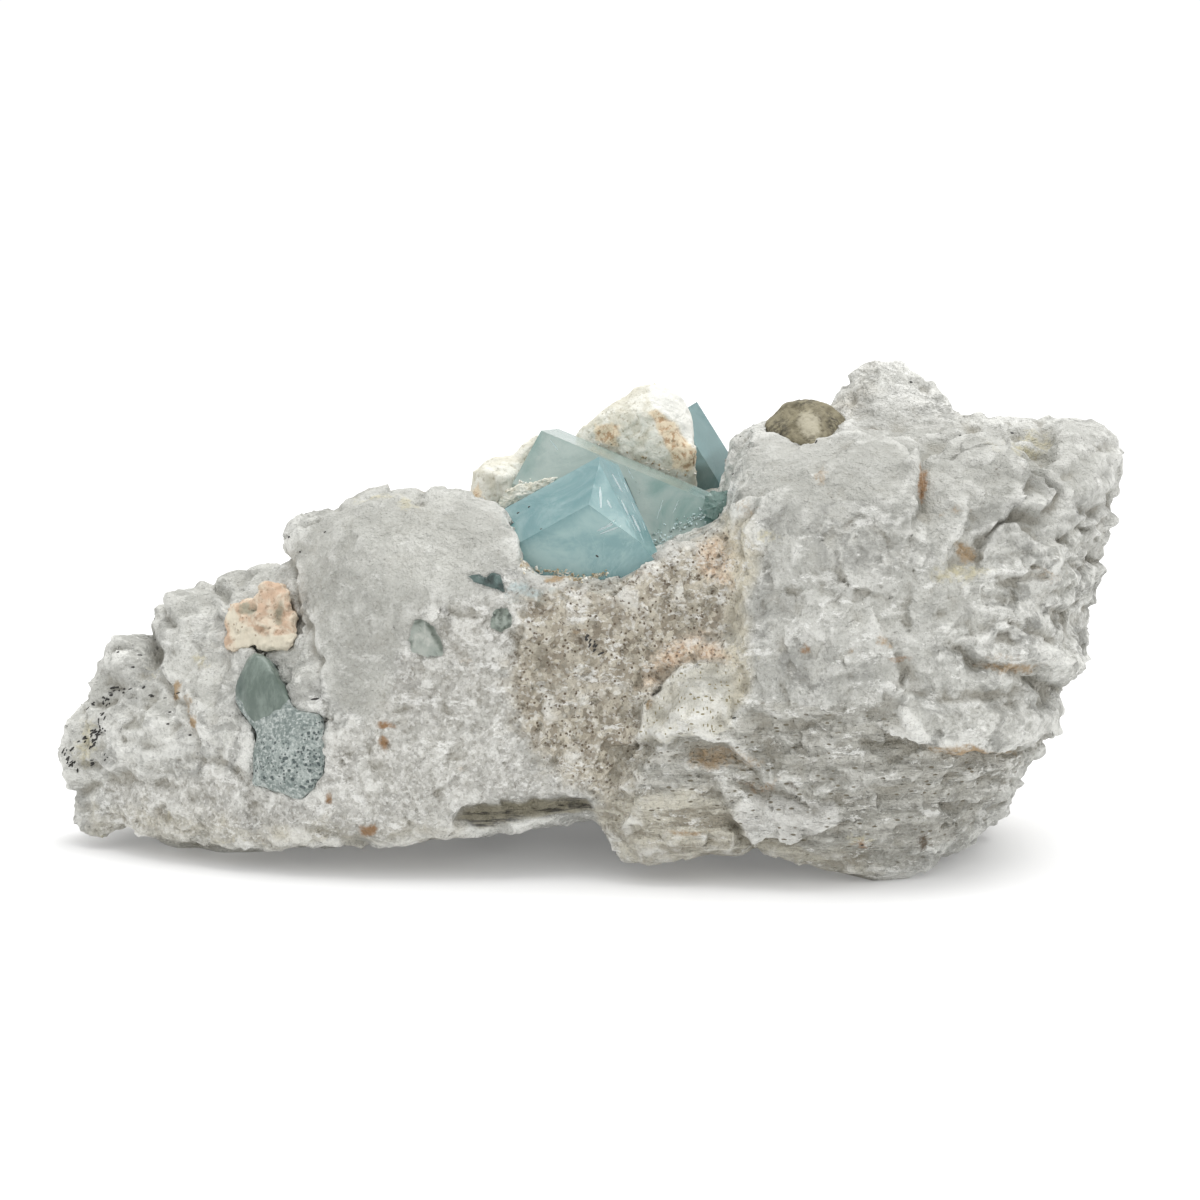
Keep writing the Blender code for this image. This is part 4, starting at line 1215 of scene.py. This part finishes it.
def add_splinter(bm, start, end, normal, width, lean):
    """A long thin spindle from start to end, half sunk in the surface with this normal."""
    side = (end - start).cross(normal).normalized() * width + normal * width * lean
    rise = normal * width * 0.45
    middle = start.lerp(end, 0.45)
    ring = [bm.verts.new((middle + shift) * MM) for shift in (side, rise, -side, -rise)]
    tips = [bm.verts.new(start * MM), bm.verts.new(end * MM)]
    for i in range(4):
        j = (i + 1) % 4
        bm.faces.new((ring[i], ring[j], tips[1]))
        bm.faces.new((ring[j], ring[i], tips[0]))


def make_splinters(surface, name, band, count, mat, seed, width, sunk=0.0):
    """Thin splinters that lie along the way between the two ends of a band, on or in a crystal."""
    rng = random.Random(seed)
    (a0, a1), (b0, b1) = ((Vector(first), Vector(last)) for first, last in band)
    bm = bmesh.new()
    for _ in range(count):
        across = rng.random()
        t0 = rng.uniform(0.0, 0.8)
        t1 = min(1.0, t0 + rng.uniform(0.08, 0.35))
        ends = []
        for t in (t0, t1):
            hit, normal = cast(surface, *a0.lerp(a1, across).lerp(b0.lerp(b1, across), t))
            if hit is not None:
                ends.append((hit - normal * sunk, normal))
        if len(ends) == 2:
            (start, normal), (end, _) = ends
            thick = width * rng.uniform(0.5, 1.5)
            add_splinter(bm, start, end, normal, thick, rng.uniform(-0.6, 0.6))
    return mesh_piece(bm, name, mat)


def make_white_sheets(surface, name, sheet_lines, mat, steps=6):
    """White sheets inside a crystal, each thin, closed and following its face: healed cracks and painted
    reflections.
    """
    rng = random.Random(4)
    bm = bmesh.new()
    for start, end, width, depth in sheet_lines:
        start, end = Vector(start), Vector(end)
        rows = []
        run = (end - start).normalized()
        aside = Vector((-run.y, run.x))
        for i in range(steps + 1):
            t = i / steps
            half = width / 2 * math.sin(math.pi * (0.12 + 0.76 * t)) * rng.uniform(0.75, 1.1)
            corners = []
            for sign in (-1, 1):
                hit, normal = cast(surface, *(start.lerp(end, t) + aside * half * sign))
                sink = depth + 0.03 * rng.random() * (sign + 1)
                corners += [hit - normal * sink, hit - normal * (sink + SHEET_THICKNESS)]
            rows.append([bm.verts.new(corner * MM) for corner in corners])
        for (a, b, c, d), (e, f, g, h) in zip(rows, rows[1:]):
            for corners in ((a, c, g, e), (b, f, h, d), (a, e, f, b), (c, d, h, g)):
                bm.faces.new(corners)
        for a, b, c, d in (rows[0], rows[-1]):
            bm.faces.new((a, b, d, c))
    return mesh_piece(bm, name, mat)


def build():
    rock = make_rock()
    print("rock triangles", triangles(rock))
    finish_piece(rock, "matrix", rock_paint())
    sharpen(rock)
    surface = surface_of(rock)
    beryl = {name: crystal_paint(name + "_look", *values) for name, values in BERYLS.items()}
    grain = {name: grain_paint(name + "_look", *values) for name, values in GRAINS.items()}
    blue, pale = beryl["blue_beryl"], beryl["pale_beryl"]
    # White for healed cracks and for painted reflections and glints; sparkle is the white of painted
    # glints.
    veil_and_glint, sparkle = veil_and_glint_paint("veil_and_glint_look", 0.45), veil_and_glint_paint("sparkle_look", 0.1)
    crumbs = crumb_paint("crumb_look", (158, 142, 112), (204, 196, 174))
    pale_crumbs = crumb_paint("pale_crumb_look", (206, 196, 166), (226, 224, 212))
    black = needle_paint()

    front = make_crystal("aquamarine_front", "front_crystal", blue,
                         (("deep", FRONT_PAINTED_SHADE), ("milky", FRONT_MILKY_AND_GLOW)))
    back = make_crystal("aquamarine_back", "back_crystal", pale,
                        (("deep", BACK_DEEP), ("milky", BACK_MILKY)))
    front_face, back_face = surface_of(front), surface_of(back)
    make_splinters(front_face, "ridge_splinters", RIDGE_BAND, 30, blue, 5, 0.08)
    # Painted glints: a few white splinters standing for the white streaks of light on the ridge.
    make_splinters(front_face, "ridge_painted_glints", RIDGE_BAND, 4, veil_and_glint, 6, 0.10, 0.02)
    make_splinters(back_face, "back_splinters", BACK_BAND, 12, pale, 8, 0.09, 0.02)
    # Painted reflections on the front crystal: thin white sheets under its face.
    make_white_sheets(front_face, "front_painted_reflections", FRONT_REFLECTION_SHEETS, veil_and_glint)
    make_white_sheets(back_face, "back_veils", BACK_VEILS, veil_and_glint)
    make_crumbs(back_face, "glints", GLINTS, 60, 4, 0.26, sparkle, 9)
    make_crumbs(back_face, "glint_stones", GLINTS, 30, 4, 0.34, pale, 10)
    make_crystal("aquamarine_rear", "rear_crystal", beryl["rear_beryl"])
    make_chip("beryl_teal", "teal_chip", TEAL_CHIP, surface, beryl["green_beryl"],
              masks=(("milky", TEAL_MILKY), ("deep", TEAL_DEEP)))
    make_chip("beryl_round", "round_grain", ROUND_GRAIN, surface, grain["grey_beryl"],
              masks=(("dark", ROUND_DARK), ("pale", ROUND_PALE)))
    make_chip(None, "back_tip", BACK_TIP, Nearest(surface, back_face), beryl["beryl_tip"],
              0.15, 1.4, 0.3)
    make_chip("beryl_pale", "pale_chip", PALE_CHIP, surface, beryl["light_beryl"],
              masks=(("milky", PALE_MILKY), ("deep", PALE_DEEP)))
    make_grain("beryl_etched", "etched_beryl", etched_paint(), 0.25, 0.10,
               (("prism", (PRISM,)), ("pitted", (PITTED,)), ("rim", PRISM_RIM)))
    knob = make_grain("cream_feldspar", "cream_knob", grain["cream"], 0.3, 0.16,
                      (("rust", KNOB_RUST + KNOB_TAN), ("pale", KNOB_WHITE), ("pits", KNOB_PITS),
                       ("dark", KNOB_DARK)))
    make_grain("peach_feldspar", "peach_nodule", grain["peach"], 0.25, 0.42,
               (("window", WINDOWS), ("pale", PEACH_SHELL), ("pits", PEACH_PITS)), WINDOWS)
    make_grain("smoky_quartz", "smoky_knob", grain["smoky"], 0.25, 0.14,
               (("pale", SMOKY_PANEL), ("dark", SMOKY_DARK)))

    rim = Nearest(surface, front_face)
    make_crumbs(rim, "rim_crumbs", RIM, 150, 1.8, 0.26, crumbs, 3)
    make_needles(surface, "tourmaline_needles", NEEDLES, black, NEEDLE_ROWS)
    make_needles(front_face, "front_specks", SPECKS, black)
    nearest = Nearest(surface, back_face, front_face, surface_of(knob))
    make_crumbs(nearest, "knob_crumbs", KNOB_FOOT, 50, 1.5, 0.26, crumbs, 13)
    make_chip(None, "wedge", WEDGE, nearest, grain["cream"], 0.25, 1.2, 0.25)
    make_crumbs(nearest, "wedge_crumbs", WEDGE_RIM, 40, 2, 0.3, pale_crumbs, 14)


def make_stage():
    bpy.ops.mesh.primitive_plane_add(size=6, location=(0, 0, 0))
    floor = bpy.context.object
    floor.name = "floor"
    p = Paint("floor_look")
    p.set(Base_Color=FLOOR_TONE, Roughness=0.95, Specular_IOR_Level=0.0)
    p.set(Emission_Color=(1, 1, 1), Emission_Strength=FLOOR_GLOW)
    floor.data.materials.append(p.material)
    world = bpy.data.worlds.new("soft_room")
    bpy.context.scene.world = world
    world.use_nodes = True
    sky = world.node_tree.nodes["Background"]
    sky.inputs["Color"].default_value = (1, 1, 1, 1)
    sky.inputs["Strength"].default_value = SKY_STRENGTH
    lamp = bpy.data.lights.new("overhead", "SUN")
    lamp.energy = SUN_STRENGTH
    lamp.angle = SUN_ANGLE
    linked("overhead", lamp).rotation_euler = SUN_WAY.to_track_quat("-Z", "Y").to_euler()


def make_camera():
    data = bpy.data.cameras.new("photo_view")
    data.sensor_width = SENSOR
    data.lens = SENSOR * VIEW_DISTANCE * VIEW_SCALE / VIEW_SIDE
    data.clip_start = 0.01
    camera = linked("photo_view", data)
    camera.location = VIEW_EYE * MM
    camera.rotation_euler = VIEW_FORWARD.to_track_quat("-Z", "Y").to_euler()
    bpy.context.scene.camera = camera


build()
make_stage()
make_camera()
bpy.context.scene.view_settings.view_transform = "Standard"
